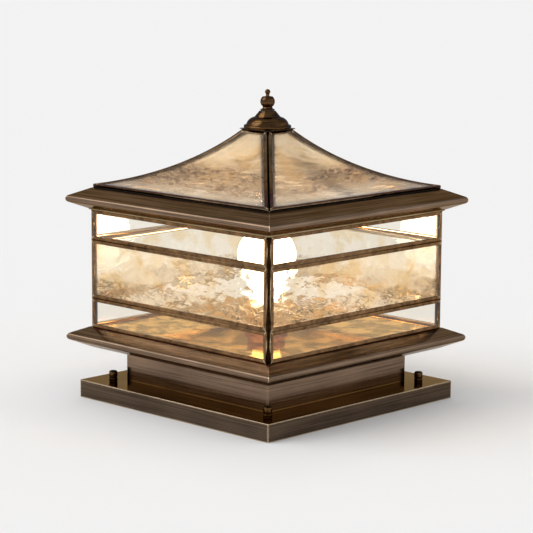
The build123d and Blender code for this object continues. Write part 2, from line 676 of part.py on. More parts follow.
def lampholder_body():
    """Ceramic lampholder with a stepped outside and a deep well for the shell."""
    rim_foot = HOLDER_SHOULDER + HOLDER_SHOULDER_SLOPE
    outline = Polyline(
        (0, 0),
        (HOLDER_RADIUS, 0),
        (HOLDER_RADIUS, HOLDER_SHOULDER),
        (HOLDER_RIM_RADIUS, rim_foot),
        (HOLDER_RIM_RADIUS, HOLDER_HEIGHT),
        (0, HOLDER_HEIGHT),
        close=True,
    )
    well = shell_bore_radius() + SHELL_SHEET + SHELL_PLAY
    solid = turned(outline) - column(well, HOLDER_FLOOR, HOLDER_HEIGHT)
    return Pos(0, 0, HOLDER_Z) * solid


def lampholder_shell():
    """Brass sleeve of the lampholder."""
    foot = CONTACT_Z + SHELL_FOOT_GAP
    height = HOLDER_Z + HOLDER_HEIGHT - SHELL_RIM_GAP - foot
    sleeve = column(shell_bore_radius() + SHELL_SHEET, foot, height)
    return sleeve - upright_hole(shell_bore_radius(), 0, 0, foot, height)


def lampholder_contact():
    """Sprung centre contact on the floor of the lampholder's well."""
    return column(CONTACT_RADIUS, CONTACT_Z, CONTACT_HEIGHT)


def bulb_contact():
    """Centre contact of the bulb."""
    return column(BULB_CONTACT_RADIUS, BULB_Z, BULB_CONTACT_HEIGHT)


def bulb_screw_cap():
    """Metal cap of the bulb: a closed cup that holds the glass."""
    foot = BULB_Z + BULB_CONTACT_HEIGHT
    cup = column(BULB_CAP_RADIUS, foot, BULB_CAP_HEIGHT)
    return cup - column(BULB_CAP_RADIUS - BULB_GLASS, foot + BULB_GLASS, BULB_CAP_HEIGHT)


def bulb_profile(inset):
    """Bulb outline as lines from the neck's foot to the top of the globe, moved in by inset."""
    neck_foot = BULB_CONTACT_HEIGHT + BULB_CAP_HEIGHT + BULB_SEAT
    neck = (BULB_NECK_RADIUS - inset, neck_foot + BULB_NECK_HEIGHT)
    radius = BULB_RADIUS - inset
    drop = BULB_CENTRE - neck[1]
    away = math.hypot(neck[0], drop)
    lean = math.acos(radius / away) + math.atan2(neck[0], drop)
    touch = (radius * math.sin(lean), BULB_CENTRE - radius * math.cos(lean))
    return [
        Line((neck[0], neck_foot), neck),
        Line(neck, touch),
        ThreePointArc(touch, (radius, BULB_CENTRE), (0, BULB_CENTRE + radius)),
    ]


def bulb_glass():
    """Frosted envelope of the bulb, open where it stands on its cap."""
    outside = bulb_profile(0)
    inside = bulb_profile(BULB_GLASS)
    wall = [Line(outside[2] @ 1, inside[2] @ 1), Line(inside[0] @ 0, outside[0] @ 0)]
    return Pos(0, 0, BULB_Z) * turned([*outside, *inside, *wall])


def pan_screw():
    """Slotted pan head screw that points down, with its seat at height zero."""
    head = column(SCREW_HEAD_RADIUS, 0, SCREW_HEAD)
    head = fillet(head.edges().group_by(Axis.Z)[-1], SCREW_HEAD_EDGE_RADIUS)
    head -= slab(2 * SCREW_HEAD_RADIUS, SLOT_WIDTH, SLOT_DEPTH + OVERRUN, SCREW_HEAD - SLOT_DEPTH)
    return head + column(SCREW_RADIUS, -SCREW_LENGTH, SCREW_LENGTH)


def frame_screws():
    """All the pan head screws: two for each strap and one for the earth terminal."""
    screw = pan_screw()
    screws = [Pos(0, 0, HOLDER_Z) * place * screw for place in holder_screw_places()]
    for place in strap_screw_places():
        screws.append(place * Pos(0, 0, -STRAP_SHEET) * Rot(180, 0, 0) * screw)
    screws.append(Pos(EARTH_OFFSET, 0, BASE_HEIGHT + EARTH_RING_SHEET) * screw)
    return screws


def cable_grommet():
    """Rubber grommet where the supply cable comes up through the tray."""
    lip = 2 * GROMMET_LIP + SHEET
    z = BASE_HEIGHT - SHEET - GROMMET_LIP
    groove = SHEET + 2 * GROMMET_PLAY
    ring = column(GROMMET_LIP_RADIUS, z, lip)
    cut = column(GROMMET_LIP_RADIUS + OVERRUN, z + GROMMET_LIP - GROMMET_PLAY, groove)
    ring -= cut - column(GROMMET_WAIST_RADIUS - GROMMET_PLAY, z, lip)
    ring -= upright_hole(GROMMET_BORE_RADIUS, 0, 0, z, lip)
    return Pos(0, -GROMMET_OFFSET, 0) * ring


def terminal_block():
    """Terminal block on the tray, with a screw well over each pole on both sides."""
    block = slab(BLOCK_WIDTH, BLOCK_LENGTH, BLOCK_HEIGHT, BASE_HEIGHT)
    block = fillet(block.edges().filter_by(Axis.Z), BLOCK_EDGE_RADIUS)
    pitch = BLOCK_LENGTH / BLOCK_POLES
    for place in GridLocations(BLOCK_WIDTH / 2, pitch, 2, BLOCK_POLES):
        top = BASE_HEIGHT + BLOCK_HEIGHT
        block -= place * column(BLOCK_WELL_RADIUS, top - BLOCK_WELL_DEPTH, BLOCK_WELL_DEPTH + OVERRUN)
    return Pos(-BLOCK_OFFSET, 0, 0) * block


def earth_terminal():
    """Ring terminal on the tray with the barrel that takes its lead."""
    ring = column(EARTH_RING_RADIUS, BASE_HEIGHT, EARTH_RING_SHEET)
    barrel = Pos(-EARTH_RING_RADIUS, 0, BASE_HEIGHT + EARTH_BARREL_RADIUS) * Rot(0, -90, 0)
    ring += barrel * Cylinder(
        EARTH_BARREL_RADIUS, EARTH_BARREL_LENGTH, align=(Align.CENTER, Align.CENTER, Align.MIN)
    )
    toward_barrel = (Align.MAX, Align.CENTER, Align.MIN)
    link = Box(EARTH_BARREL_LENGTH, 2 * EARTH_BARREL_RADIUS, EARTH_RING_SHEET, align=toward_barrel)
    ring += Pos(-EARTH_RING_RADIUS + EARTH_BARREL_RADIUS, 0, BASE_HEIGHT) * link
    ring -= upright_hole(SCREW_HOLE_RADIUS, 0, 0, BASE_HEIGHT, EARTH_RING_SHEET)
    return Pos(EARTH_OFFSET, 0, 0) * ring


def lead(points, bend):
    """Insulated wire along a bent route."""
    route = FilletPolyline(*points, radius=bend)
    start = Plane(origin=route @ 0, z_dir=route % 0)
    return sweep(start * Circle(LEAD_RADIUS), path=route)


def internal_leads():
    """Two leads from the block up to the lampholder, and one to the earth terminal."""
    block_face = BLOCK_WIDTH / 2 - BLOCK_OFFSET
    z = BASE_HEIGHT + LEAD_HEIGHT
    leads = []
    for y in (-LEAD_SPREAD, LEAD_SPREAD):
        route = [(block_face, y, z), (0, y, z), (0, y, HOLDER_Z)]
        leads.append(lead(route, LEAD_BEND))
    low = BASE_HEIGHT + EARTH_BARREL_RADIUS
    end = EARTH_OFFSET - EARTH_RING_RADIUS - EARTH_BARREL_LENGTH
    upper_bend = (block_face + EARTH_LEAD_RUN, 0, z)
    lower_bend = (end - EARTH_LEAD_RUN, 0, low)
    leads.append(lead([(block_face, 0, z), upper_bend, lower_bend, (end, 0, low)], EARTH_LEAD_BEND))
    return leads


def export(name, shape):
    """Write one sub-part, a solid or a group of solids, to its own file."""
    solids = shape if isinstance(shape, list) else [shape]
    group = Compound(children=[solid for part in solids for solid in part.solids()])
    export_step(group, f"parts/{name}.step")


def main():
    """Build every sub-part and write it."""
    os.makedirs("parts", exist_ok=True)
    single = [
        mounting_bracket,
        base_tray,
        neck_box,
        lower_eave,
        floor_plate,
        corner_posts,
        top_ring,
        bridge_strap,
        centre_rod,
        rod_nuts,
        holder_strap,
        lampholder_body,
        lampholder_shell,
        lampholder_contact,
        bulb_contact,
        bulb_screw_cap,
        bulb_glass,
        terminal_block,
        earth_terminal,
        internal_leads,
        cable_grommet,
        frame_screws,
        upper_eave,
        roof_spider,
        cap,
        finial_washer,
        finial,
    ]
    for make in single:
        export(make.__name__, make())
    lattice = wall_frame()
    roof = roof_frame()
    glazing = roof_pane()
    for side, angle in SIDES.items():
        turn = Rot(0, 0, angle)
        export(f"{side}_wall_frame", turn * lattice)
        export(f"{side}_roof_frame", turn * roof)
        export(f"{side}_roof_pane", turn * glazing)
        for row, foot, height in panel_rows():
            export(f"{side}_{row}_pane", turn * wall_pane(foot, height))
    collar = nut_collar()
    nut = cap_nut()
    corners = ["left_front", "left_back", "right_front", "right_back"]
    for corner, place in zip(corners, stud_places()):
        export(f"{corner}_nut_collar", place * collar)
        export(f"{corner}_cap_nut", place * nut)


main()
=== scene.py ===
"""Square pillar light: the studio, the finishes, and the pieces that need more than their plain solids."""
import json
import logging
import math
from dataclasses import dataclass
from enum import Enum
from typing import Callable

import bmesh
import bpy
from mathutils import Matrix, Vector, noise

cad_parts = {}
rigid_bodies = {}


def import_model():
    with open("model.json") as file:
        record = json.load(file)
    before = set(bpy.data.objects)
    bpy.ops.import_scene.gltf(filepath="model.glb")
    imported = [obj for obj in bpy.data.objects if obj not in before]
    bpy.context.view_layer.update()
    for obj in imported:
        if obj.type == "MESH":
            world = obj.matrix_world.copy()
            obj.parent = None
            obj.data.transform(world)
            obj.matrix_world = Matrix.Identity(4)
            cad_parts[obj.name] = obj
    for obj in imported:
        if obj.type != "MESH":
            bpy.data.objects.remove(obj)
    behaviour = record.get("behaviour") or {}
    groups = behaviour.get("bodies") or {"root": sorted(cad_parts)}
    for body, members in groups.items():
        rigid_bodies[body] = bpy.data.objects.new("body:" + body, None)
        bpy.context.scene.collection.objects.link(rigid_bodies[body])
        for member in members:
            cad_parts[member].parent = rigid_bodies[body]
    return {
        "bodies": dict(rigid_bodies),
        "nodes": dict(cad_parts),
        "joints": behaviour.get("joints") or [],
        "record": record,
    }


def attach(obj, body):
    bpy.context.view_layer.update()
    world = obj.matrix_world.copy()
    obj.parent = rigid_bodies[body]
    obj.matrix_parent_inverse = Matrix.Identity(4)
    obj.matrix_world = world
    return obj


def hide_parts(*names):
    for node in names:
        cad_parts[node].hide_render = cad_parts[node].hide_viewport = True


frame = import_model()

Tree = bpy.types.NodeTree
Node = bpy.types.Node
Socket = bpy.types.NodeSocket
Material = bpy.types.Material
Mesh = bmesh.types.BMesh
Colour = tuple[float, float, float, float]
Place = Callable[[float, float], Vector]

MM = 0.001
GLASS_IOR = 1.5
# Cosines between a face and its rounded edge: where the painted edge highlight starts, and where it is full.
HIGHLIGHT_STARTS = 0.995
HIGHLIGHT_FULL = 0.88
LOG = logging.getLogger("pillar_light")


def linear(hex_colour: str) -> Colour:
    """Turn an sRGB hex colour into linear light.

    Args:
        hex_colour: six hex digits, such as "7A5C3B".

    Returns:
        Red, green, blue and an alpha of one.
    """
    channels = [int(hex_colour[i : i + 2], 16) / 255 for i in (0, 2, 4)]
    red, green, blue = [c / 12.92 if c <= 0.04045 else ((c + 0.055) / 1.055) ** 2.4 for c in channels]
    return (red, green, blue, 1.0)


def add_node(tree: Tree, kind: str, settings: dict | None = None, links: dict | None = None) -> Node:
    """Add a node with its settings and links.

    Args:
        tree: the node tree that the node goes into.
        kind: the node's type name.
        settings: values by input name or number, or by the node's own property name.
        links: output sockets by input name or number.

    Returns:
        The new node.
    """
    node = tree.nodes.new(kind)
    for key, value in (settings or {}).items():
        if isinstance(key, str) and key not in node.inputs:
            setattr(node, key, value)
    for key, value in (settings or {}).items():
        if isinstance(key, int) or key in node.inputs:
            node.inputs[key].default_value = value
    for key, socket in (links or {}).items():
        tree.links.new(socket, node.inputs[key])
    return node


def work_out(tree: Tree, operation: str, *terms: float | Socket) -> Socket:
    """Add a sum.

    Args:
        tree: the material's node tree.
        operation: what the Math node does.
        terms: its inputs in order, each a number or a socket.

    Returns:
        The result.
    """
    settings, links = {"operation": operation}, {}
    for slot, term in enumerate(terms):
        (links if isinstance(term, Socket) else settings)[slot] = term
    return add_node(tree, "ShaderNodeMath", settings, links).outputs["Value"]


def remap(
    tree: Tree,
    value: Socket,
    low: float = 0.0,
    high: float = 1.0,
    start: float = 0.0,
    end: float = 1.0,
    curve: str = "LINEAR",
) -> Socket:
    """Spread a range over another one and hold it at its ends.

    Args:
        tree: the material's node tree.
        value: what is spread.
        low: the value that gives start.
        high: the value that gives end.
        start: result at low.
        end: result at high.
        curve: how it runs from one to the other.

    Returns:
        The result.
    """
    settings = {"interpolation_type": curve}
    settings.update({"From Min": low, "From Max": high, "To Min": start, "To Max": end})
    return add_node(tree, "ShaderNodeMapRange", settings, {"Value": value}).outputs["Result"]


def cloudy(
    tree: Tree,
    place: Socket,
    size: float,
    detail: float = 2.0,
    roughness: float = 0.5,
    distortion: float = 0.0,
) -> Socket:
    """Add a noise.

    Args:
        tree: the material's node tree.
        place: the coordinates, in metres.
        size: size of its coarsest pattern, in millimetres.
        detail: how many finer patterns lie in it.
        roughness: how much of the finer patterns shows.
        distortion: how far the pattern is dragged about.

    Returns:
        The noise, from nought to one.
    """
    settings = {"Scale": 1 / (size * MM), "Detail": detail, "Roughness": roughness, "Distortion": distortion}
    return add_node(tree, "ShaderNodeTexNoise", settings, {"Vector": place}).outputs["Fac"]


def mingle(tree: Tree, share: Socket, first: str | Socket, second: str | Socket) -> Socket:
    """Mix two colours.

    Args:
        tree: the material's node tree.
        share: how much of the second one shows.
        first: hex colour or socket.
        second: hex colour or socket.

    Returns:
        The mixed colour.
    """
    settings, links = {"data_type": "RGBA"}, {0: share}
    for slot, colour in ((6, first), (7, second)):
        if isinstance(colour, Socket):
            links[slot] = colour
        else:
            settings[slot] = linear(colour)
    return add_node(tree, "ShaderNodeMix", settings, links).outputs[2]


def raised(tree: Tree, height: Socket, depth: float, strength: float = 1.0) -> Socket:
    """Turn a height into relief.

    Args:
        tree: the material's node tree.
        height: height of the surface, from nought to one.
        depth: what one stands for, in millimetres.
        strength: share of the relief that is used.

    Returns:
        The surface normal.
    """
    settings = {"Strength": strength, "Distance": depth * MM}
    return add_node(tree, "ShaderNodeBump", settings, {"Height": height}).outputs["Normal"]


def new_material(name: str) -> tuple[Material, Tree, Node]:
    """Start an empty node material.

    Args:
        name: the finish's plain name.

    Returns:
        The material, its node tree and its output node.
    """
    material = bpy.data.materials.new(name)
    material.use_nodes = True
    tree = material.node_tree
    tree.nodes.clear()
    return material, tree, add_node(tree, "ShaderNodeOutputMaterial")


def surfaced(material: Material, tree: Tree, output: Node, shader: Socket) -> Material:
    """Lead a shader to the output of its material.

    Args:
        material: the material.
        tree: its node tree.
        output: its output node.
        shader: the finished shader.

    Returns:
        The material.
    """
    tree.links.new(shader, output.inputs["Surface"])
    return material


def lit_through(tree: Tree, glass: Socket, settings: dict | None = None, links: dict | None = None) -> Socket:
    """Let the lamps through a glass: what stops a shadow is its tint alone.

    Args:
        tree: the material's node tree.
        glass: the shader that the eye sees.
        settings: settings of the clear shader for shadow rays.
        links: its links.

    Returns:
        The mixed shader.
    """
    clear = add_node(tree, "ShaderNodeBsdfTransparent", settings, links)
    path = add_node(tree, "ShaderNodeLightPath")
    chosen = {0: path.outputs["Is Shadow Ray"], 1: glass, 2: clear.outputs["BSDF"]}
    return add_node(tree, "ShaderNodeMixShader", None, chosen).outputs["Shader"]


class Side(Enum):
    """The four sides of the light, each with its turn from the front in degrees."""

    FRONT = 0
    RIGHT = 90
    BACK = 180
    LEFT = 270

    @property
    def turn(self) -> Matrix:
        """Rotation that takes a piece drawn for the front to this side."""
        return Matrix.Rotation(math.radians(self.value), 4, "Z")

    @property
    def word(self) -> str:
        """Lower case name, as the nodes use it."""
        return self.name.lower()


@dataclass(frozen=True)
class MetalFinish:
    """A metal whose grain, clouding and roughness vary over its surface.

    grain is the size of one grain streak along X, Y and Z in millimetres, so a finish brushed along the sides
    has long streaks in X and Y and thin ones in Z. edge tints what the metal mirrors at a glancing angle.
    """

    name: str
    light: str
    dark: str
    edge: str
    smooth: float
    rough: float
    grain: tuple[float, float, float]
    cloud: float
    relief: float
    coat: float = 0.0
    coat_roughness: float = 0.1
    contrast: float = 0.28
    clouding: float = 0.35
    # The pale colour painted along the rounded edges as a highlight, and how far it reaches, in millimetres.
    painted_highlight: str = ""
    highlight_reach: float = 0.7

    def with_painted_highlight(self, tree: Tree, cloud: Socket, colour: Socket) -> Socket:
        """Paint a pale highlight along the rounded edges, where they would catch the light: painted
        highlight.

        Args:
            tree: the material's node tree.
            cloud: a broad noise that makes the painted highlight uneven.
            colour: the patinated colour.

        Returns:
            The colour with its painted edge highlights.
        """
        flat = add_node(tree, "ShaderNodeNewGeometry").outputs["Normal"]
        reach = {"samples": 4, "Radius": self.highlight_reach * MM}
        rounded = add_node(tree, "ShaderNodeBevel", reach).outputs["Normal"]
        turn = add_node(tree, "ShaderNodeVectorMath", {"operation": "DOT_PRODUCT"}, {0: flat, 1: rounded})
        edge = remap(tree, turn.outputs["Value"], low=HIGHLIGHT_STARTS, high=HIGHLIGHT_FULL)
        uneven = remap(tree, cloud, low=0.3, high=0.55, start=0.6)
        return mingle(tree, work_out(tree, "MULTIPLY", edge, uneven), colour, self.painted_highlight)

    def tone(self, tree: Tree, place: Socket, colour: Socket) -> Socket:
        """Give the colour that reaches the shader; a finish that changes over the piece does so here.

        Args:
            tree: the material's node tree.
            place: object coordinates.
            colour: the grained colour.

        Returns:
            The colour to use.
        """
        return colour

    def material(self) -> Material:
        """Build the node material."""
        material, tree, output = new_material(self.name)
        place = add_node(tree, "ShaderNodeTexCoord").outputs["Object"]
        scale = [1 / size for size in self.grain]
        stretched = add_node(tree, "ShaderNodeMapping", {"Scale": scale}, {"Vector": place}).outputs["Vector"]
        grain = cloudy(tree, stretched, 1.0, detail=5.0, roughness=0.62)
        cloud = cloudy(tree, place, self.cloud, detail=3.0, roughness=0.55)
        both = work_out(tree, "MULTIPLY_ADD", cloud, self.clouding, grain)
        middle = (1 + self.clouding) / 2
        reach = self.contrast * middle
        colour = mingle(tree, remap(tree, both, middle - reach, middle + reach), self.dark, self.light)
        # Painted highlight along the rounded edges.
        if self.painted_highlight:
            colour = self.with_painted_highlight(tree, cloud, colour)
        shader = add_node(
            tree, "ShaderNodeBsdfPrincipled",
            {
                "Metallic": 1.0,
                "Specular Tint": linear(self.edge),
                "Coat Weight": self.coat,
                "Coat Roughness": self.coat_roughness,
            },
            {
                "Base Color": self.tone(tree, place, colour),
                "Roughness": remap(tree, grain, low=0.3, high=0.7, start=self.smooth, end=self.rough),
                "Normal": raised(tree, grain, self.relief),
            },
        )
        return surfaced(material, tree, output, shader.outputs["BSDF"])


@dataclass(frozen=True)
class CameFinish(MetalFinish):
    """Came that is patinated outside and tinned inside.

    inside is how far from the middle of the light the tin reaches, and blur is how soft its border is.
    """

    bare: str = "D9CAAE"
    inside: float = 131.6
    blur: float = 0.2

    def tone(self, tree: Tree, place: Socket, colour: Socket) -> Socket:
        """Mix in the tin by the distance from the middle of the light.

        Args:
            tree: the material's node tree.
            place: object coordinates.
            colour: the patinated colour.

        Returns:
            Tin inside, patina outside.
        """
        split = add_node(tree, "ShaderNodeSeparateXYZ", None, {"Vector": place})
        across, along = [work_out(tree, "ABSOLUTE", split.outputs[axis]) for axis in "XY"]
        reach = work_out(tree, "MAXIMUM", across, along)
        patina = remap(tree, reach, (self.inside - self.blur) * MM, (self.inside + self.blur) * MM)
        return mingle(tree, patina, self.bare, colour)


@dataclass(frozen=True)
class GlassFinish:
    """A clear or tinted glass that lets the lamps through, with a waviness of its own."""

    name: str
    tint: str
    wave: float
    relief: float

    def material(self) -> Material:
        """Build the node material."""
        material, tree, output = new_material(self.name)
        place = add_node(tree, "ShaderNodeTexCoord").outputs["Object"]
        wave = cloudy(tree, place, self.wave, distortion=0.6)
        glass = add_node(
            tree, "ShaderNodeBsdfPrincipled",
            {"Base Color": linear(self.tint), "Roughness": 0.0, "IOR": GLASS_IOR, "Transmission Weight": 1.0},
            {"Normal": raised(tree, wave, self.relief)},
        )
        lit = lit_through(tree, glass.outputs["BSDF"], {"Color": linear(self.tint)})
        return surfaced(material, tree, output, lit)


@dataclass(frozen=True)
class WaterGlassFinish:
    """Rolled water glass: rounded cells, long ripples and a fine tooth, with a little light held in it.

    cell, ripple and tooth are sizes in millimetres, and stretch is how much longer the pattern runs across
    the sheet than up it. haze is the share of the light that the sheet scatters. The creases lie between
    crease_foot and crease_head, in millimetres above the foot of the sheet; they are tinted dark, a painted
    reflection of the dark parts behind the glass, and their band is washed gold, a painted warm light.
    """

    name: str
    pale: str
    gold: str
    cell: float
    ripple: float
    tooth: float
    stretch: float
    relief: float
    haze: float
    smooth: float
    rough: float
    crease: float
    crease_stretch: float
    crease_foot: float
    crease_head: float
    crease_painted_reflection: str
    crease_width: float
    crease_fade: float
    wash: float
    wash_tint: str
    wander: float = 28.0
    wander_share: float = 0.9
    lean: float = 0.95
    patch: float = 32.0

    def drawn_out(self, tree: Tree, place: Socket, stretch: float) -> Socket:
        """Draw a pattern out across the sheet.

        Args:
            tree: the material's node tree.
            place: the sheet's own coordinates, in metres across and up it.
            stretch: how much longer the pattern gets.

        Returns:
            The coordinates of the longer pattern.
        """
        scale = (1 / stretch, 1.0, 1.0)
        return add_node(tree, "ShaderNodeMapping", {"Scale": scale}, {"Vector": place}).outputs["Vector"]

    def creases(self, tree: Tree, place: Socket) -> tuple[Socket, Socket]:
        """Add the thin creases in one band of the sheet: relief, and a dark tint that is a painted
        reflection.

        Args:
            tree: the material's node tree.
            place: the sheet's own coordinates, in metres across and up it.

        Returns:
            The band, one inside it and nought outside, and the creases, one on a crease and nought beside it.
        """
        drawn = self.drawn_out(tree, place, self.crease_stretch)
        field = cloudy(tree, drawn, self.crease, detail=4.0, roughness=0.6, distortion=0.7)
        line = work_out(tree, "ABSOLUTE", work_out(tree, "SUBTRACT", field, 0.5))
        line = remap(tree, line, high=self.crease_width, start=1.0, end=0.0)
        wander = cloudy(tree, drawn, self.wander, detail=6.0, roughness=0.65)
        up = add_node(tree, "ShaderNodeSeparateXYZ", None, {"Vector": place}).outputs["Y"]
        climb = self.wander_share * (self.crease_head - self.crease_foot) * MM
        level = work_out(tree, "MULTIPLY_ADD", wander, climb, up)
        middle = self.lean * self.crease_head + (1 - self.lean) * self.crease_foot
        off = work_out(tree, "ABSOLUTE", work_out(tree, "SUBTRACT", level, middle * MM))
        half = (self.crease_head - self.crease_foot) / 2 * MM
        whole = (1 - self.crease_fade) * half
        band = remap(tree, off, low=whole, high=half, start=1.0, end=0.0, curve="SMOOTHSTEP")
        there = work_out(tree, "MULTIPLY", band, remap(tree, wander, low=0.4, high=0.56))
        return band, work_out(tree, "MULTIPLY", there, line)

    def height(self, tree: Tree, place: Socket) -> Socket:
        """Add the sheet's relief.

        Args:
            tree: the material's node tree.
            place: the sheet's own coordinates, in metres across and up it.

        Returns:
            The height, with the cells strongest and the tooth weakest.
        """
        drawn = self.drawn_out(tree, place, self.stretch)
        drift = add_node(
            tree, "ShaderNodeTexNoise", {"Scale": 1 / (2 * self.cell * MM), "Detail": 2.0}, {"Vector": drawn}
        )
        moved = add_node(
            tree, "ShaderNodeMix",
            {"data_type": "VECTOR", "blend_type": "MIX", "Factor": 0.012},
            {4: drawn, 5: drift.outputs["Color"]},
        )
        cells = add_node(
            tree, "ShaderNodeTexVoronoi",
            {"feature": "SMOOTH_F1", "Scale": 1 / (self.cell * MM), "Smoothness": 0.8},
            {"Vector": moved.outputs[1]},
        )
        ripples = cloudy(tree, drawn, self.ripple, detail=3.0, distortion=0.8)
        swell = work_out(tree, "MULTIPLY_ADD", cells.outputs["Distance"], 0.8, ripples)
        return work_out(tree, "MULTIPLY_ADD", cloudy(tree, place, self.tooth), 0.22, swell)

    def material(self) -> Material:
        """Build the node material."""
        material, tree, output = new_material(self.name)
        place = add_node(tree, "ShaderNodeTexCoord").outputs["UV"]
        band, crease = self.creases(tree, place)
        cut = work_out(tree, "MULTIPLY_ADD", crease, -0.35, self.height(tree, place))
        normal = raised(tree, cut, self.relief)
        patch = cloudy(tree, place, self.patch, detail=4.0, roughness=0.6)
        tint = mingle(tree, remap(tree, patch, low=0.5, high=0.6), self.pale, self.gold)
        # Painted warm light: the crease band is washed gold.
        tint = mingle(tree, work_out(tree, "MULTIPLY", band, self.wash), tint, self.wash_tint)
        # Painted reflection: the creases are tinted dark.
        tint = mingle(tree, crease, tint, self.crease_painted_reflection)
        glass = add_node(
            tree, "ShaderNodeBsdfPrincipled", {"IOR": GLASS_IOR, "Transmission Weight": 1.0},
            {
                "Base Color": tint,
                "Roughness": remap(tree, patch, low=0.3, high=0.7, start=self.smooth, end=self.rough),
                "Normal": normal,
            },
        )
        held = add_node(tree, "ShaderNodeBsdfTranslucent", None, {"Color": tint, "Normal": normal})
        veil = add_node(
            tree, "ShaderNodeTexVoronoi",
            {"feature": "SMOOTH_F1", "Scale": 1 / (1.6 * self.cell * MM), "Smoothness": 0.35, "Detail": 2.0},
            {"Vector": place},
        )
        thin, thick = 0.35 * self.haze, 2.4 * self.haze
        haze = remap(tree, veil.outputs["Distance"], low=0.1, high=0.75, start=thin, end=thick)
        sheet = add_node(
            tree, "ShaderNodeMixShader", None, {0: haze, 1: glass.outputs["BSDF"], 2: held.outputs["BSDF"]}
        )
        lit = lit_through(tree, sheet.outputs["Shader"], None, {"Color": tint})
        return surfaced(material, tree, output, lit)


@dataclass(frozen=True)
class PlainFinish:
    """A glazed, moulded or rubber surface with a fine texture of its own."""

    name: str
    light: str
    dark: str
    roughness: float
    grain: float
    relief: float
    ior: float = 1.5
    coat: float = 0.0

    def material(self) -> Material:
        """Build the node material."""
        material, tree, output = new_material(self.name)
        place = add_node(tree, "ShaderNodeTexCoord").outputs["Object"]
        grain = cloudy(tree, place, self.grain, detail=4.0)
        shader = add_node(
            tree, "ShaderNodeBsdfPrincipled",
            {"IOR": self.ior, "Coat Weight": self.coat, "Coat Roughness": 0.05},
            {
                "Base Color": mingle(tree, grain, self.dark, self.light),
                "Roughness": remap(tree, grain, start=0.75 * self.roughness, end=1.25 * self.roughness),
                "Normal": raised(tree, grain, self.relief),
            },
        )
        return surfaced(material, tree, output, shader.outputs["BSDF"])


@dataclass(frozen=True)
class LampGlassFinish:
    """Frosted lamp glass, lit from inside: brightest round the globe, weaker down its neck."""

    name: str
    tint: str
    strength: float
    globe_z: float
    neck_z: float
    neck_share: float = 0.35
    frost: float = 1.5
    relief: float = 0.02

    def material(self) -> Material:
        """Build the node material."""
        material, tree, output = new_material(self.name)
        place = add_node(tree, "ShaderNodeTexCoord").outputs["Object"]
        height = add_node(tree, "ShaderNodeSeparateXYZ", None, {"Vector": place}).outputs["Z"]
        dim = self.neck_share * self.strength
        neck, globe = self.neck_z * MM, self.globe_z * MM
        glow = remap(tree, height, neck, globe, start=dim, end=self.strength, curve="SMOOTHSTEP")
        normal = raised(tree, cloudy(tree, place, self.frost, detail=3.0), self.relief)
        shader = add_node(
            tree, "ShaderNodeBsdfPrincipled",
            {"Base Color": linear("FFFDF6"), "Roughness": 0.45, "Emission Color": linear(self.tint)},
            {"Emission Strength": glow, "Normal": normal},
        )
        return surfaced(material, tree, output, shader.outputs["BSDF"])


# Folded brass sheet, darkened to antique bronze, brushed along each side and lacquered: warm brown with
# fine level streaks, and a painted highlight along the rounded edges.
BRUSHED_BRONZE = MetalFinish(
    name="brushed antique bronze sheet", light="8E7662", dark="5F4E40", edge="BDA78C", smooth=0.11,
    rough=0.24, grain=(120, 120, 1.1), cloud=60, relief=0.014, coat=0.1, coat_roughness=0.1, contrast=0.2,
    clouding=0.3, painted_highlight="F6DCB4", highlight_reach=1.2,
)
# The tray is the same sheet, buffed before lacquering: its top mirrors the neck and the nuts, and its
# rounded edges carry a painted highlight.
BUFFED_BRONZE = MetalFinish(
    name="buffed antique bronze tray", light="6C5B4C", dark="473A30", edge="C4AE92", smooth=0.05,
    rough=0.12, grain=(120, 120, 1.2), cloud=70, relief=0.008, coat=0.1, coat_roughness=0.1, contrast=0.22,
    clouding=0.3, painted_highlight="FFE6C0", highlight_reach=2.0,
)
# Brass came, chemically blackened and rubbed back: darker than the sheet, gold where it is worn.
PATINATED_CAME = CameFinish(
    name="patinated brass came", light="94704C", dark="4A3726", edge="8A6E4E", smooth=0.12, rough=0.24,
    grain=(5, 5, 5), cloud=30, relief=0.006, coat=0.1,
)
# Ring and strap, lacquered brass on the inside of the body: warm gold in the lamp's light.
LACQUERED_BRASS = MetalFinish(
    name="lacquered brass sheet", light="B39D7A", dark="85714F", edge="D9C4A0", smooth=0.15, rough=0.28,
    grain=(40, 40, 3), cloud=40, relief=0.01, coat=0.1,
)
# Solder drawn along the mitres: a thin pale line, a little worn.
SOLDER = MetalFinish(
    name="tinned solder seam", light="E8D9BE", dark="B8A383", edge="FFF2DC", smooth=0.18, rough=0.30,
    grain=(3, 3, 3), cloud=8, relief=0.004,
)
# Roof came, patinated all over.
ROOF_CAME = MetalFinish(
    name="patinated brass roof came", light="957A5C", dark="54463A", edge="86704F", smooth=0.10, rough=0.20,
    grain=(5, 5, 5), cloud=30, relief=0.006, coat=0.2,
)
# Corner angles, blackened so that they read as a shadow line between two walls.
BLACKENED_BRASS = MetalFinish(
    name="blackened brass angle", light="5E4630", dark="2A1E14", edge="5A4630", smooth=0.12, rough=0.26,
    grain=(5, 5, 5), cloud=30, relief=0.006, coat=0.1,
)
# Spun and turned bronze, polished on the lathe before darkening: level rings and a tight highlight.
TURNED_BRONZE = MetalFinish(
    name="turned antique bronze", light="72522C", dark="140C06", edge="4E3B26", smooth=0.05, rough=0.20,
    grain=(30, 30, 0.7), cloud=12, relief=0.02, coat=0.2, coat_roughness=0.06, contrast=0.2, clouding=0.3,
)
# Rolled brass plate, mirror polished: a wavy gold mirror under the glass, with darker and paler patches in
# its colour, partly duller metal and partly a painted reflection of the dark and gold parts above it.
POLISHED_BRASS = MetalFinish(
    name="polished brass plate", light="ECC07A", dark="8E6632", edge="F8E0B0", smooth=0.0, rough=0.03,
    grain=(17, 17, 17), cloud=24, relief=0.26, coat=0.0, coat_roughness=0.1, contrast=0.1, clouding=1.2,
)
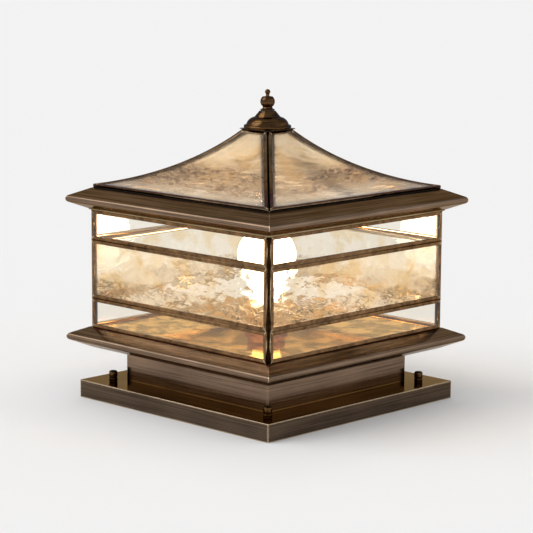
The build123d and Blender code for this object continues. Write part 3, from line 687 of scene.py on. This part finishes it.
# Rolled steel, bright zinc plated: pale, cool grey with a faint spangle.
ZINC_STEEL = MetalFinish(
    name="zinc plated steel", light="C4C4C2", dark="9C9C9A", edge="FFFFFF", smooth=0.28, rough=0.42,
    grain=(4, 4, 4), cloud=14, relief=0.01,
)
# Rolled aluminium lamp cap: pale and satin.
ROLLED_ALUMINIUM = MetalFinish(
    name="rolled aluminium lamp cap", light="D8D8D6", dark="BEBEBC", edge="FFFFFF", smooth=0.2, rough=0.32,
    grain=(20, 20, 0.6), cloud=10, relief=0.01,
)
# Drawn float glass, 2.6 mm: clear, faintly warm in the lit room, with a very long wave.
CLEAR_GLASS = GlassFinish(name="clear sheet glass", tint="FDFAF3", wave=60, relief=0.02)
# Rolled water glass, pale champagne: its cells and ripples bend what is behind into soft streaks, thin
# creases gather low in it, tinted dark as a painted reflection under a gold wash of painted warm light,
# and the sheet holds a little of the lamp's light. The tooth is drawn twice its real size to show.
WALL_WATER_GLASS = WaterGlassFinish(
    name="champagne water glass, wall", pale="FCF6EA", gold="F6E4C2", cell=9, ripple=16, tooth=2.0,
    stretch=1.4, relief=0.24, haze=0.06, smooth=0.0, rough=0.02, crease=5, crease_stretch=1.5,
    crease_foot=-6, crease_head=24, crease_painted_reflection="2A1808", crease_width=0.045, crease_fade=0.3, wash=0.35,
    wash_tint="E8C98E",
)
# The same glass in the roof, rolled with longer ripples that lie along the eaves, and creased across the
# middle, with the same painted reflection in the creases and painted warm light over their band.
ROOF_WATER_GLASS = WaterGlassFinish(
    name="champagne water glass, roof", pale="F5ECDC", gold="EEDDC0", cell=9, ripple=10, tooth=2.0,
    stretch=2.8, relief=0.3, haze=0.10, smooth=0.0, rough=0.02, crease=5, crease_stretch=3.2,
    crease_foot=20, crease_head=78, crease_painted_reflection="5E3A16", crease_width=0.08, crease_fade=0.5, wash=0.3,
    wash_tint="E2BE84",
)
# Slip cast steatite, glazed and shiny; its amber colour is a painted reflection of the gold brass plate round
# it.
PAINTED_GOLD_CERAMIC = PlainFinish(
    name="ceramic with painted gold reflection", light="E8C48A", dark="D0A466", roughness=0.2, grain=3.0, relief=0.01,
    ior=1.5, coat=0.5,
)
# A dull black strip under the roof: painted shade, standing in for the dark gap between the roof frames and
# the eave.
PAINTED_SHADE_STRIP = PlainFinish(
    name="black strip, painted shade under roof", light="1E1711", dark="100B08", roughness=0.8, grain=1.5, relief=0.02,
    ior=1.2,
)
# Moulded nitrile rubber: black with a dull bloom.
NITRILE_RUBBER = PlainFinish(
    name="moulded nitrile rubber", light="2A2A2A", dark="191919", roughness=0.6, grain=1.5, relief=0.02,
)
# Injection moulded polyamide: off-white with a fine spark texture.
MOULDED_POLYAMIDE = PlainFinish(
    name="moulded polyamide", light="E0DCD0", dark="D2CDBF", roughness=0.4, grain=1.0, relief=0.02,
)
# Extruded silicone and glass braid over the leads: red brown and matt.
LEAD_JACKET = PlainFinish(
    name="braided lead jacket", light="7A4F33", dark="5B3822", roughness=0.6, grain=0.8, relief=0.03,
)
# Acid-etched lamp glass, lit: warm white.
LAMP_GLASS = LampGlassFinish(
    name="frosted lamp glass, lit", tint="FFE8C6", strength=13.0, globe_z=150.0, neck_z=105.0,
)


def dress(material: Material, *nodes: str) -> None:
    """Give CAD nodes a finish.

    Args:
        material: the finish's material.
        nodes: names of the nodes.
    """
    for name in nodes:
        node = frame["nodes"][name]
        node.data.materials.clear()
        node.data.materials.append(material)


def finished(name: str, mesh: Mesh, material: Material, body: str, *nodes: str) -> bpy.types.Object:
    """Turn a bmesh into a finished piece of the light.

    Args:
        name: the piece's name.
        mesh: its shape, in metres, in place.
        material: its finish.
        body: the body that it moves with.
        nodes: names of the CAD nodes that it stands for.

    Returns:
        The new object.
    """
    data = bpy.data.meshes.new(name)
    for face in mesh.faces:
        face.smooth = True
    mesh.to_mesh(data)
    mesh.free()
    data.materials.append(material)
    piece = bpy.data.objects.new(name, data)
    bpy.context.scene.collection.objects.link(piece)
    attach(piece, body)
    if nodes:
        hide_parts(*nodes)
    LOG.info("%s: %d faces, on %s", name, len(data.polygons), body)
    return piece


# What still counts as level, in millimetres, and the turn in radians from which an edge counts as sharp.
LEVEL = 1e-6
SHARP = 1.0
# Where the fine ripples and the crests start in the noise.
FINE_PLACE = Vector((7.0, 3.0, 1.0))
CREST_PLACE = Vector((1.0, 9.0, 4.0))


@dataclass
class RippledSheet:
    """A sheet of water glass: flat outside, rippled inside, its edges left flat for the channel.

    ripple is the depth and wave the length of its broadest ripples, both in millimetres, and stretch is how
    much longer they run across the sheet. The shares weigh the broad ripples, the fine ones and the crests.
    """

    columns: int
    rows: int
    thickness: float
    ripple: float
    wave: float
    stretch: float
    margin: float = 5.0
    broad_share: float = 0.35
    fine_share: float = 0.16
    crest_share: float = 0.3

    def height(self, u: float, v: float, width: float, length: float, seed: float) -> float:
        """Depth of the ripple at a point of the sheet, in millimetres.

        Args:
            u: place across the sheet, in millimetres from its middle.
            v: place up the sheet, in millimetres from its foot.
            width: width of the sheet at that place.
            length: length of the sheet.
            seed: a number that sets the sheet's own pattern.

        Returns:
            How far the inner face moves in.
        """
        spot = Vector((u / (self.stretch * self.wave), v / self.wave, seed))
        warp = noise.noise_vector(spot * 0.8) * 0.55
        broad = noise.noise(spot + warp)
        fine = noise.noise((spot + warp) * 2.4 + FINE_PLACE)
        crest = 1 - abs(noise.noise((spot + warp) * 1.3 + CREST_PLACE))
        swell = self.broad_share * (1 + broad) + self.fine_share * fine + self.crest_share * crest * crest
        edge = min(width / 2 - abs(u), v, length - v)
        fade = min(max(edge / self.margin, 0.0), 1.0)
        return self.ripple * swell * fade * fade * (3 - 2 * fade)

    def build(self, place: Place, width: Callable[[float], float], length: float, seed: float) -> Mesh:
        """Build the sheet.

        Args:
            place: gives the outer face's point in metres from millimetres across and up the sheet.
            width: gives the sheet's width in millimetres at a height up the sheet.
            length: length of the sheet in millimetres.
            seed: a number that sets the sheet's own pattern.

        Returns:
            The sheet as a closed mesh.
        """
        sheet = bmesh.new()
        bmesh.ops.create_grid(sheet, x_segments=self.columns, y_segments=self.rows, size=1.0)
        flat = []
        for vert in sheet.verts:
            v = (vert.co.y + 1) / 2 * length
            u = vert.co.x * width(v) / 2
            flat.append((u, v))
            vert.co = place(u, v)
        sheet.normal_update()
        outer = list(sheet.verts)
        shell = bmesh.ops.duplicate(sheet, geom=sheet.verts[:] + sheet.edges[:] + sheet.faces[:])
        twins = shell["vert_map"]
        moves = []
        for vert, (u, v) in zip(outer, flat):
            depth = self.thickness + self.height(u, v, width(v), length, seed)
            moves.append((twins[vert], vert.normal * depth * MM))
        for twin, step in moves:
            twin.co -= step
        rims = [edge for edge in sheet.edges if edge.is_boundary]
        bmesh.ops.bridge_loops(sheet, edges=rims)
        bmesh.ops.recalc_face_normals(sheet, faces=sheet.faces[:])
        spots = {vert: flat[number] for number, vert in enumerate(outer)}
        spots.update({twins[vert]: spots[vert] for vert in outer})
        layer = sheet.loops.layers.uv.new("sheet")
        for face in sheet.faces:
            for loop in face.loops:
                u, v = spots[loop.vert]
                loop[layer].uv = ((u + seed * self.wave) * MM, v * MM)
        return sheet


@dataclass
class CameRing:
    """Four lengths of crowned came, mitred round one pane, with a solder seam on each mitre.

    It is drawn flat, u across the pane, v up it and w out of it, and then laid in place. across and up are
    the faces of the side bars and of the level ones, and crown is how far their outer edges are rounded.
    """

    width: float
    height: float
    across: float
    up: float
    depth: float = 3.6
    crown: float = 0.8
    cuts: int = 0
    seam: float = 0.7
    seam_proud: float = 0.1
    seam_depth: float = 0.9
    seam_share: float = 0.9

    def bars(self) -> Mesh:
        """Build the four bars, their outer faces crowned."""
        ring = bmesh.new()
        loops = []
        for inset_u, inset_v in ((0.0, 0.0), (self.across, self.up)):
            half = self.width / 2 - inset_u
            low, high = inset_v, self.height - inset_v
            corners = ((-half, low), (half, low), (half, high), (-half, high))
            loops.append([ring.verts.new((u, v, 0.0)) for u, v in corners])
        outer, inner = loops
        for here in range(4):
            there = (here + 1) % 4
            ring.faces.new((outer[here], outer[there], inner[there], inner[here]))
        face = ring.faces[:]
        back = bmesh.ops.extrude_face_region(ring, geom=face)
        sunk = [item for item in back["geom"] if isinstance(item, bmesh.types.BMVert)]
        bmesh.ops.translate(ring, vec=(0.0, 0.0, -self.depth), verts=sunk)
        bmesh.ops.reverse_faces(ring, faces=ring.faces[:])
        bmesh.ops.recalc_face_normals(ring, faces=ring.faces[:])
        ring.edges.ensure_lookup_table()
        rims = []
        for edge in ring.edges:
            top = all(abs(vert.co.z) < LEVEL for vert in edge.verts)
            if top and edge.calc_face_angle(0.0) > SHARP:
                rims.append(edge)
        bmesh.ops.bevel(
            ring, geom=rims, offset=self.crown, affect="EDGES", segments=4, profile=0.5, material=-1
        )
        if self.cuts:
            long = []
            for edge in ring.edges:
                foot, head = edge.verts
                if abs(foot.co.y - head.co.y) > self.height / 2:
                    long.append(edge)
            bmesh.ops.subdivide_edges(ring, edges=long, cuts=self.cuts, use_grid_fill=True)
        return ring

    def seams(self) -> Mesh:
        """Build the four solder seams."""
        seams = bmesh.new()
        length = self.seam_share * math.hypot(self.across, self.up)
        lean = math.atan2(self.up, self.across)
        for hand, foot in ((-1, 0), (1, 0), (1, 1), (-1, 1)):
            bead = bmesh.ops.create_cube(seams, size=1.0)["verts"]
            size = Matrix.Diagonal((length, self.seam, self.seam_proud + self.seam_depth, 1.0))
            turn = Matrix.Rotation(lean * -hand * (1 - 2 * foot), 4, "Z")
            u = hand * (self.width - self.across) / 2
            v = self.height - self.up / 2 if foot else self.up / 2
            place = Matrix.Translation((u, v, (self.seam_proud - self.seam_depth) / 2))
            bmesh.ops.transform(seams, matrix=place @ turn @ size, verts=bead)
        return seams


def gather(whole: Mesh, part: Mesh) -> None:
    """Move the shape of one mesh into another.

    Args:
        whole: the mesh that takes it in.
        part: the mesh that is used up.
    """
    data = bpy.data.meshes.new("part")
    part.to_mesh(data)
    part.free()
    whole.from_mesh(data)
    bpy.data.meshes.remove(data)


@dataclass
class Walls:
    """Glazed body: four lattices of came round three rows of glass."""

    outside: float = 132.5
    foot: float = 76.4
    low_row: float = 31.5
    middle_row: float = 62.0
    solder: float = 0.3
    solder_depth: float = 1.2
    frame_width: float = 257.6
    face: float = 3.8
    channel: float = 3.6
    glass: float = 2.6
    pane_width: float = 255.8
    pane_height: float = 60.2
    pane_foot: float = 109.1
    seed: float = 3.1

    def build(self, glass: Material) -> None:
        """Build the rippled middle panes.

        Args:
            glass: their finish.
        """
        face = self.outside - (self.channel - self.glass) / 2
        sheet = RippledSheet(
            columns=190, rows=46, thickness=self.glass, ripple=0.6, wave=19.0, stretch=1.5
        )
        for side in Side:
            mesh = sheet.build(
                lambda u, v: Vector((u, -face, self.pane_foot + v)) * MM,
                lambda v: self.pane_width,
                self.pane_height,
                self.seed + side.value,
            )
            bmesh.ops.transform(mesh, matrix=side.turn, verts=mesh.verts[:])
            finished(f"{side.word}_middle_water_pane", mesh, glass, "lantern", f"{side.word}_middle_pane")

    def lattice(self, came: Material, solder: Material) -> None:
        """Build each side's lattice: three rings of came, one over the other, and their solder.

        Args:
            came: finish of the came.
            solder: finish of the seams.
        """
        feet = [self.foot, self.foot + self.low_row + self.solder]
        feet.append(feet[1] + self.middle_row + self.solder)
        heights = (self.low_row, self.middle_row, self.low_row)
        for side in Side:
            frame, seams = bmesh.new(), bmesh.new()
            for foot, height in zip(feet, heights):
                ring = CameRing(self.frame_width, height, self.face, self.face, self.channel)
                for whole, part in ((frame, ring.bars()), (seams, ring.seams())):
                    bmesh.ops.translate(part, vec=(0.0, foot, 0.0), verts=part.verts[:])
                    gather(whole, part)
            for foot in feet[1:]:
                strip = bmesh.ops.create_cube(frame, size=1.0)["verts"]
                deep = self.channel - 2 * self.solder_depth
                size = Matrix.Diagonal((self.frame_width - 2 * self.face, self.solder, deep, 1.0))
                middle = (0.0, foot - self.solder / 2, -self.channel / 2)
                bmesh.ops.transform(frame, matrix=Matrix.Translation(middle) @ size, verts=strip)
            for mesh, name, finish, nodes in (
                (frame, "lattice", came, (f"{side.word}_wall_frame",)),
                (seams, "lattice_seams", solder, ()),
            ):
                for vert in mesh.verts:
                    u, v, w = vert.co
                    vert.co = Vector((u, -self.outside - w, v)) * MM
                bmesh.ops.transform(mesh, matrix=side.turn, verts=mesh.verts[:])
                finished(f"{side.word}_{name}", mesh, finish, "lantern", *nodes)

    def dress(self, glass: Material, brass: Material, black: Material) -> None:
        """Dress the corner posts, the ring and the clear panes.

        Args:
            glass: finish of the clear panes.
            brass: finish of the ring and the strap.
            black: finish of the corner posts.
        """
        for side in Side:
            dress(glass, f"{side.word}_lower_pane", f"{side.word}_upper_pane")
        dress(brass, "top_ring", "bridge_strap")
        dress(black, "corner_posts")


@dataclass
class Roof:
    """Hipped roof of four concave panes on a spider, with its cap and finial."""

    ledge: float = 130.0
    crown: float = 19.5
    foot_z: float = 228.9
    crown_z: float = 287.5
    sag: float = 10.2
    edge: float = 0.9
    depth: float = 0.5
    glass: float = 2.6
    face: float = 3.8
    channel: float = 3.6
    groove: float = 2.3
    # The black strip under the roof frames, painted shade for the gap there: its foot, height, depth, how far
    # it stands proud and how far its edges are rounded, in millimetres.
    seal_foot: float = 225.3
    seal_height: float = 0.9
    seal_depth: float = 1.2
    seal_proud: float = 0.15
    seal_edge: float = 0.12
    seed: float = 41.7

    def __post_init__(self) -> None:
        """Work out the arc of the panes from its chord and sag."""
        run = self.ledge - self.crown
        rise = self.crown_z - self.foot_z
        chord = math.hypot(run, rise)
        self.radius = (chord**2 / 4 + self.sag**2) / (2 * self.sag)
        self.centre_s = (self.ledge + self.crown) / 2 + (self.radius - self.sag) * rise / chord
        self.centre_z = (self.crown_z + self.foot_z) / 2 + (self.radius - self.sag) * run / chord
        self.start = math.atan2(self.foot_z - self.centre_z, self.ledge - self.centre_s)
        self.length = 2 * self.radius * math.asin(chord / (2 * self.radius))
        self.hip = (self.groove / 2 + self.edge) * math.hypot(run, chord) / chord

    def point(self, along: float, depth: float) -> tuple[float, float]:
        """Point of the roof section.

        Args:
            along: distance up the slope from its foot, in millimetres.
            depth: distance under the outer face.

        Returns:
            Distance from the middle of the light, and height.
        """
        angle = self.start - along / self.radius
        radius = self.radius + depth
        return self.centre_s + radius * math.cos(angle), self.centre_z + radius * math.sin(angle)

    def build(self, glass: Material) -> None:
        """Build the rippled roof panes.

        Args:
            glass: their finish.
        """
        sheet = RippledSheet(
            columns=160, rows=90, thickness=self.glass, ripple=0.9, wave=13.0, stretch=2.8
        )

        def place(u: float, v: float) -> Vector:
            """Point of the outer face."""
            s, z = self.point(self.edge + v, self.depth)
            return Vector((u, -s, z)) * MM

        def width(v: float) -> float:
            """Width between the hips."""
            return 2 * (self.point(self.edge + v, self.depth)[0] - self.hip)

        for side in Side:
            mesh = sheet.build(place, width, self.length - 2 * self.edge, self.seed + side.value)
            bmesh.ops.transform(mesh, matrix=side.turn, verts=mesh.verts[:])
            finished(f"{side.word}_roof_water_pane", mesh, glass, "lid", f"{side.word}_roof_pane")

    def frames(self, came: Material, solder: Material) -> None:
        """Build the curved came frame of each side.

        Args:
            came: finish of the came.
            solder: finish of the seams.
        """
        run = self.ledge - self.crown
        chord = math.hypot(run, self.crown_z - self.foot_z)
        spread = math.hypot(run, chord) / chord
        gap = self.groove / 2 * spread
        width = 2 * self.ledge
        ring = CameRing(width, self.length, self.face * spread, self.face, self.channel, cuts=28)
        for side in Side:
            for mesh, name, finish, nodes in (
                (ring.bars(), "roof_came", came, (f"{side.word}_roof_frame",)),
                (ring.seams(), "roof_seams", solder, ()),
            ):
                for vert in mesh.verts:
                    u, v, w = vert.co
                    s, z = self.point(v, -w)
                    x = math.copysign(self.point(v, 0.0)[0] - gap - (self.ledge - abs(u)), u)
                    vert.co = Vector((x, -s, z)) * MM
                bmesh.ops.recalc_face_normals(mesh, faces=mesh.faces[:])
                bmesh.ops.transform(mesh, matrix=side.turn, verts=mesh.verts[:])
                finished(f"{side.word}_{name}", mesh, finish, "lid", *nodes)

    def seal(self, black_finish: Material) -> None:
        """Lay a thin black strip between the foot of each roof frame and the eave: painted shade for the dark
        gap there.

        Args:
            black_finish: its finish.
        """
        low, high = self.seal_foot, self.seal_foot + self.seal_height
        reach = self.ledge - self.groove
        for side in Side:
            strip = bmesh.new()
            bmesh.ops.create_cube(strip, size=1.0)
            size = Matrix.Diagonal((2 * reach, self.seal_depth, high - low, 1.0))
            middle = Vector((0, self.seal_depth / 2 - self.ledge - self.seal_proud, (low + high) / 2))
            place = Matrix.Translation(middle) @ size
            bmesh.ops.transform(strip, matrix=Matrix.Scale(MM, 4) @ place, verts=strip.verts[:])
            bmesh.ops.bevel(
                strip, geom=strip.edges[:], offset=self.seal_edge * MM, affect="EDGES", segments=3,
                profile=0.5, material=-1,
            )
            bmesh.ops.transform(strip, matrix=side.turn, verts=strip.verts[:])
            finished(f"{side.word}_roof_seal", strip, black_finish, "lid")

    def dress(self, sheet: Material, came: Material, turned: Material, seal: Material) -> None:
        """Dress the metal of the roof.

        Args:
            sheet: finish of the eave.
            came: finish of the spider, which shows between the frames.
            turned: finish of the cap and the finial.
            seal: finish of the washer.
        """
        dress(sheet, "upper_eave")
        dress(came, "roof_spider")
        dress(turned, "cap", "finial")
        dress(seal, "finial_washer")


@dataclass
class Base:
    """Tray, neck, lower eave, floor plate and the bracket with its nuts."""

    def dress(
        self, sheet: Material, tray: Material, mirror: Material, turned: Material, steel: Material
    ) -> None:
        """Dress the metal of the base.

        Args:
            sheet: finish of the neck and the eave.
            tray: finish of the tray.
            mirror: finish of the floor plate.
            turned: finish of the nuts.
            steel: finish of the hidden steel.
        """
        dress(sheet, "neck_box", "lower_eave")
        dress(tray, "base_tray")
        dress(mirror, "floor_plate")
        for end in ("front", "back"):
            for hand in ("left", "right"):
                dress(turned, f"{hand}_{end}_nut_collar", f"{hand}_{end}_cap_nut")
        dress(steel, "mounting_bracket", "holder_strap", "frame_screws", "centre_rod", "rod_nuts")


@dataclass
class Lamp:
    """Lampholder, bulb and wiring."""

    def dress(self, brass: Material) -> None:
        """Dress the lampholder, the bulb and the wiring.

        Args:
            brass: finish of the lampholder's metal.
        """
        dress(PAINTED_GOLD_CERAMIC.material(), "lampholder_body")
        dress(brass, "lampholder_shell", "lampholder_contact", "earth_terminal")
        dress(ROLLED_ALUMINIUM.material(), "bulb_screw_cap", "bulb_contact")
        dress(LAMP_GLASS.material(), "bulb_glass")
        dress(MOULDED_POLYAMIDE.material(), "terminal_block")
        dress(NITRILE_RUBBER.material(), "cable_grommet")
        dress(LEAD_JACKET.material(), "internal_leads")


@dataclass
class Studio:
    """Pale floor, soft light and the camera."""

    floor_half: float = 20.0
    floor_colour: str = "F2F2F2"
    floor_tooth: float = 2.5
    floor_relief: float = 0.02
    stand: tuple[float, float, float] = (1.5501, -1.5873, 0.5179)
    heading: float = 44.324
    pitch: float = 9.626
    roll: float = 0.344
    lens: float = 143.77
    sky: float = 0.85
    sun: float = 1.15
    sun_spread: float = 50.0
    sun_from: tuple[float, float, float] = (-0.80, -0.10, 0.75)
    ceiling: float = 0.5
    ceiling_foot: float = 0.15
    ceiling_head: float = 0.65

    def floor(self) -> None:
        """Lay the floor."""
        material, tree, output = new_material("matt paper floor")
        place = add_node(tree, "ShaderNodeTexCoord").outputs["Object"]
        normal = raised(tree, cloudy(tree, place, self.floor_tooth), self.floor_relief, strength=0.2)
        shader = add_node(
            tree, "ShaderNodeBsdfPrincipled",
            {"Base Color": linear(self.floor_colour), "Roughness": 0.9, "Specular IOR Level": 0.0},
            {"Normal": normal},
        )
        surfaced(material, tree, output, shader.outputs["BSDF"])
        mesh = bmesh.new()
        bmesh.ops.create_grid(mesh, x_segments=1, y_segments=1, size=self.floor_half)
        data = bpy.data.meshes.new("floor")
        mesh.to_mesh(data)
        mesh.free()
        data.materials.append(material)
        floor = bpy.data.objects.new("floor", data)
        bpy.context.scene.collection.objects.link(floor)

    def world(self) -> None:
        """Hang the even sky. Metal and glass see the pale backdrop, with a darker ceiling over it."""
        world = bpy.data.worlds.new("studio")
        bpy.context.scene.world = world
        world.use_nodes = True
        tree = world.node_tree
        tree.nodes.clear()
        path = add_node(tree, "ShaderNodeLightPath")
        seen = work_out(tree, "MAXIMUM", path.outputs["Is Camera Ray"], path.outputs["Is Transmission Ray"])
        towards = add_node(tree, "ShaderNodeTexCoord").outputs["Generated"]
        height = add_node(tree, "ShaderNodeSeparateXYZ", None, {"Vector": towards}).outputs["Z"]
        foot, head = self.ceiling_foot, self.ceiling_head
        ceiling = remap(tree, height, foot, head, start=1.0, end=self.ceiling, curve="SMOOTHSTEP")
        glossy = path.outputs["Is Glossy Ray"]
        mirrored = add_node(tree, "ShaderNodeMix", {2: self.sky}, {0: glossy, 3: ceiling})
        strength = add_node(tree, "ShaderNodeMix", {3: 1.0}, {0: seen, 2: mirrored.outputs[0]})
        background = add_node(
            tree, "ShaderNodeBackground", {"Color": linear(self.floor_colour)},
            {"Strength": strength.outputs[0]},
        )
        output = add_node(tree, "ShaderNodeOutputWorld")
        tree.links.new(background.outputs["Background"], output.inputs["Surface"])

    def key(self) -> None:
        """Hang the broad lamp on the left."""
        lamp = bpy.data.lights.new("key", "SUN")
        lamp.energy = self.sun
        lamp.angle = math.radians(self.sun_spread)
        key = bpy.data.objects.new("key", lamp)
        turn = Matrix.Rotation(math.radians(self.heading), 3, "Z")
        towards = turn @ Vector(self.sun_from)
        key.rotation_euler = towards.to_track_quat("Z", "Y").to_euler()
        bpy.context.scene.collection.objects.link(key)

    def camera(self) -> None:
        """Place the camera where the photograph was taken."""
        data = bpy.data.cameras.new("camera")
        data.lens = self.lens
        data.sensor_width = 36.0
        data.clip_end = 100.0
        camera = bpy.data.objects.new("camera", data)
        camera.matrix_world = (
            Matrix.Translation(self.stand)
            @ Matrix.Rotation(math.radians(self.heading), 4, "Z")
            @ Matrix.Rotation(math.radians(90 - self.pitch), 4, "X")
            @ Matrix.Rotation(math.radians(self.roll), 4, "Z")
        )
        bpy.context.scene.collection.objects.link(camera)
        bpy.context.scene.camera = camera

    def build(self) -> None:
        """Set up the whole studio."""
        self.floor()
        self.world()
        self.key()
        self.camera()
        bpy.context.scene.view_settings.view_transform = "Standard"


def main() -> None:
    """Dress the light and set up the studio."""
    logging.basicConfig(level=logging.INFO, format="%(message)s")
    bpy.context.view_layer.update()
    sheet = BRUSHED_BRONZE.material()
    turned = TURNED_BRONZE.material()
    walls = Walls()
    walls.build(WALL_WATER_GLASS.material())
    solder = SOLDER.material()
    walls.lattice(PATINATED_CAME.material(), solder)
    black = BLACKENED_BRASS.material()
    walls.dress(CLEAR_GLASS.material(), LACQUERED_BRASS.material(), black)
    roof = Roof()
    roof.build(ROOF_WATER_GLASS.material())
    black_finish = NITRILE_RUBBER.material()
    # Painted shade: a black strip in the gap under the roof frames.
    roof.seal(PAINTED_SHADE_STRIP.material())
    roof.frames(ROOF_CAME.material(), solder)
    roof.dress(sheet, black, turned, black_finish)
    brass = POLISHED_BRASS.material()
    Base().dress(sheet, BUFFED_BRONZE.material(), brass, turned, ZINC_STEEL.material())
    Lamp().dress(brass)
    Studio().build()


if __name__ == "__main__":
    main()
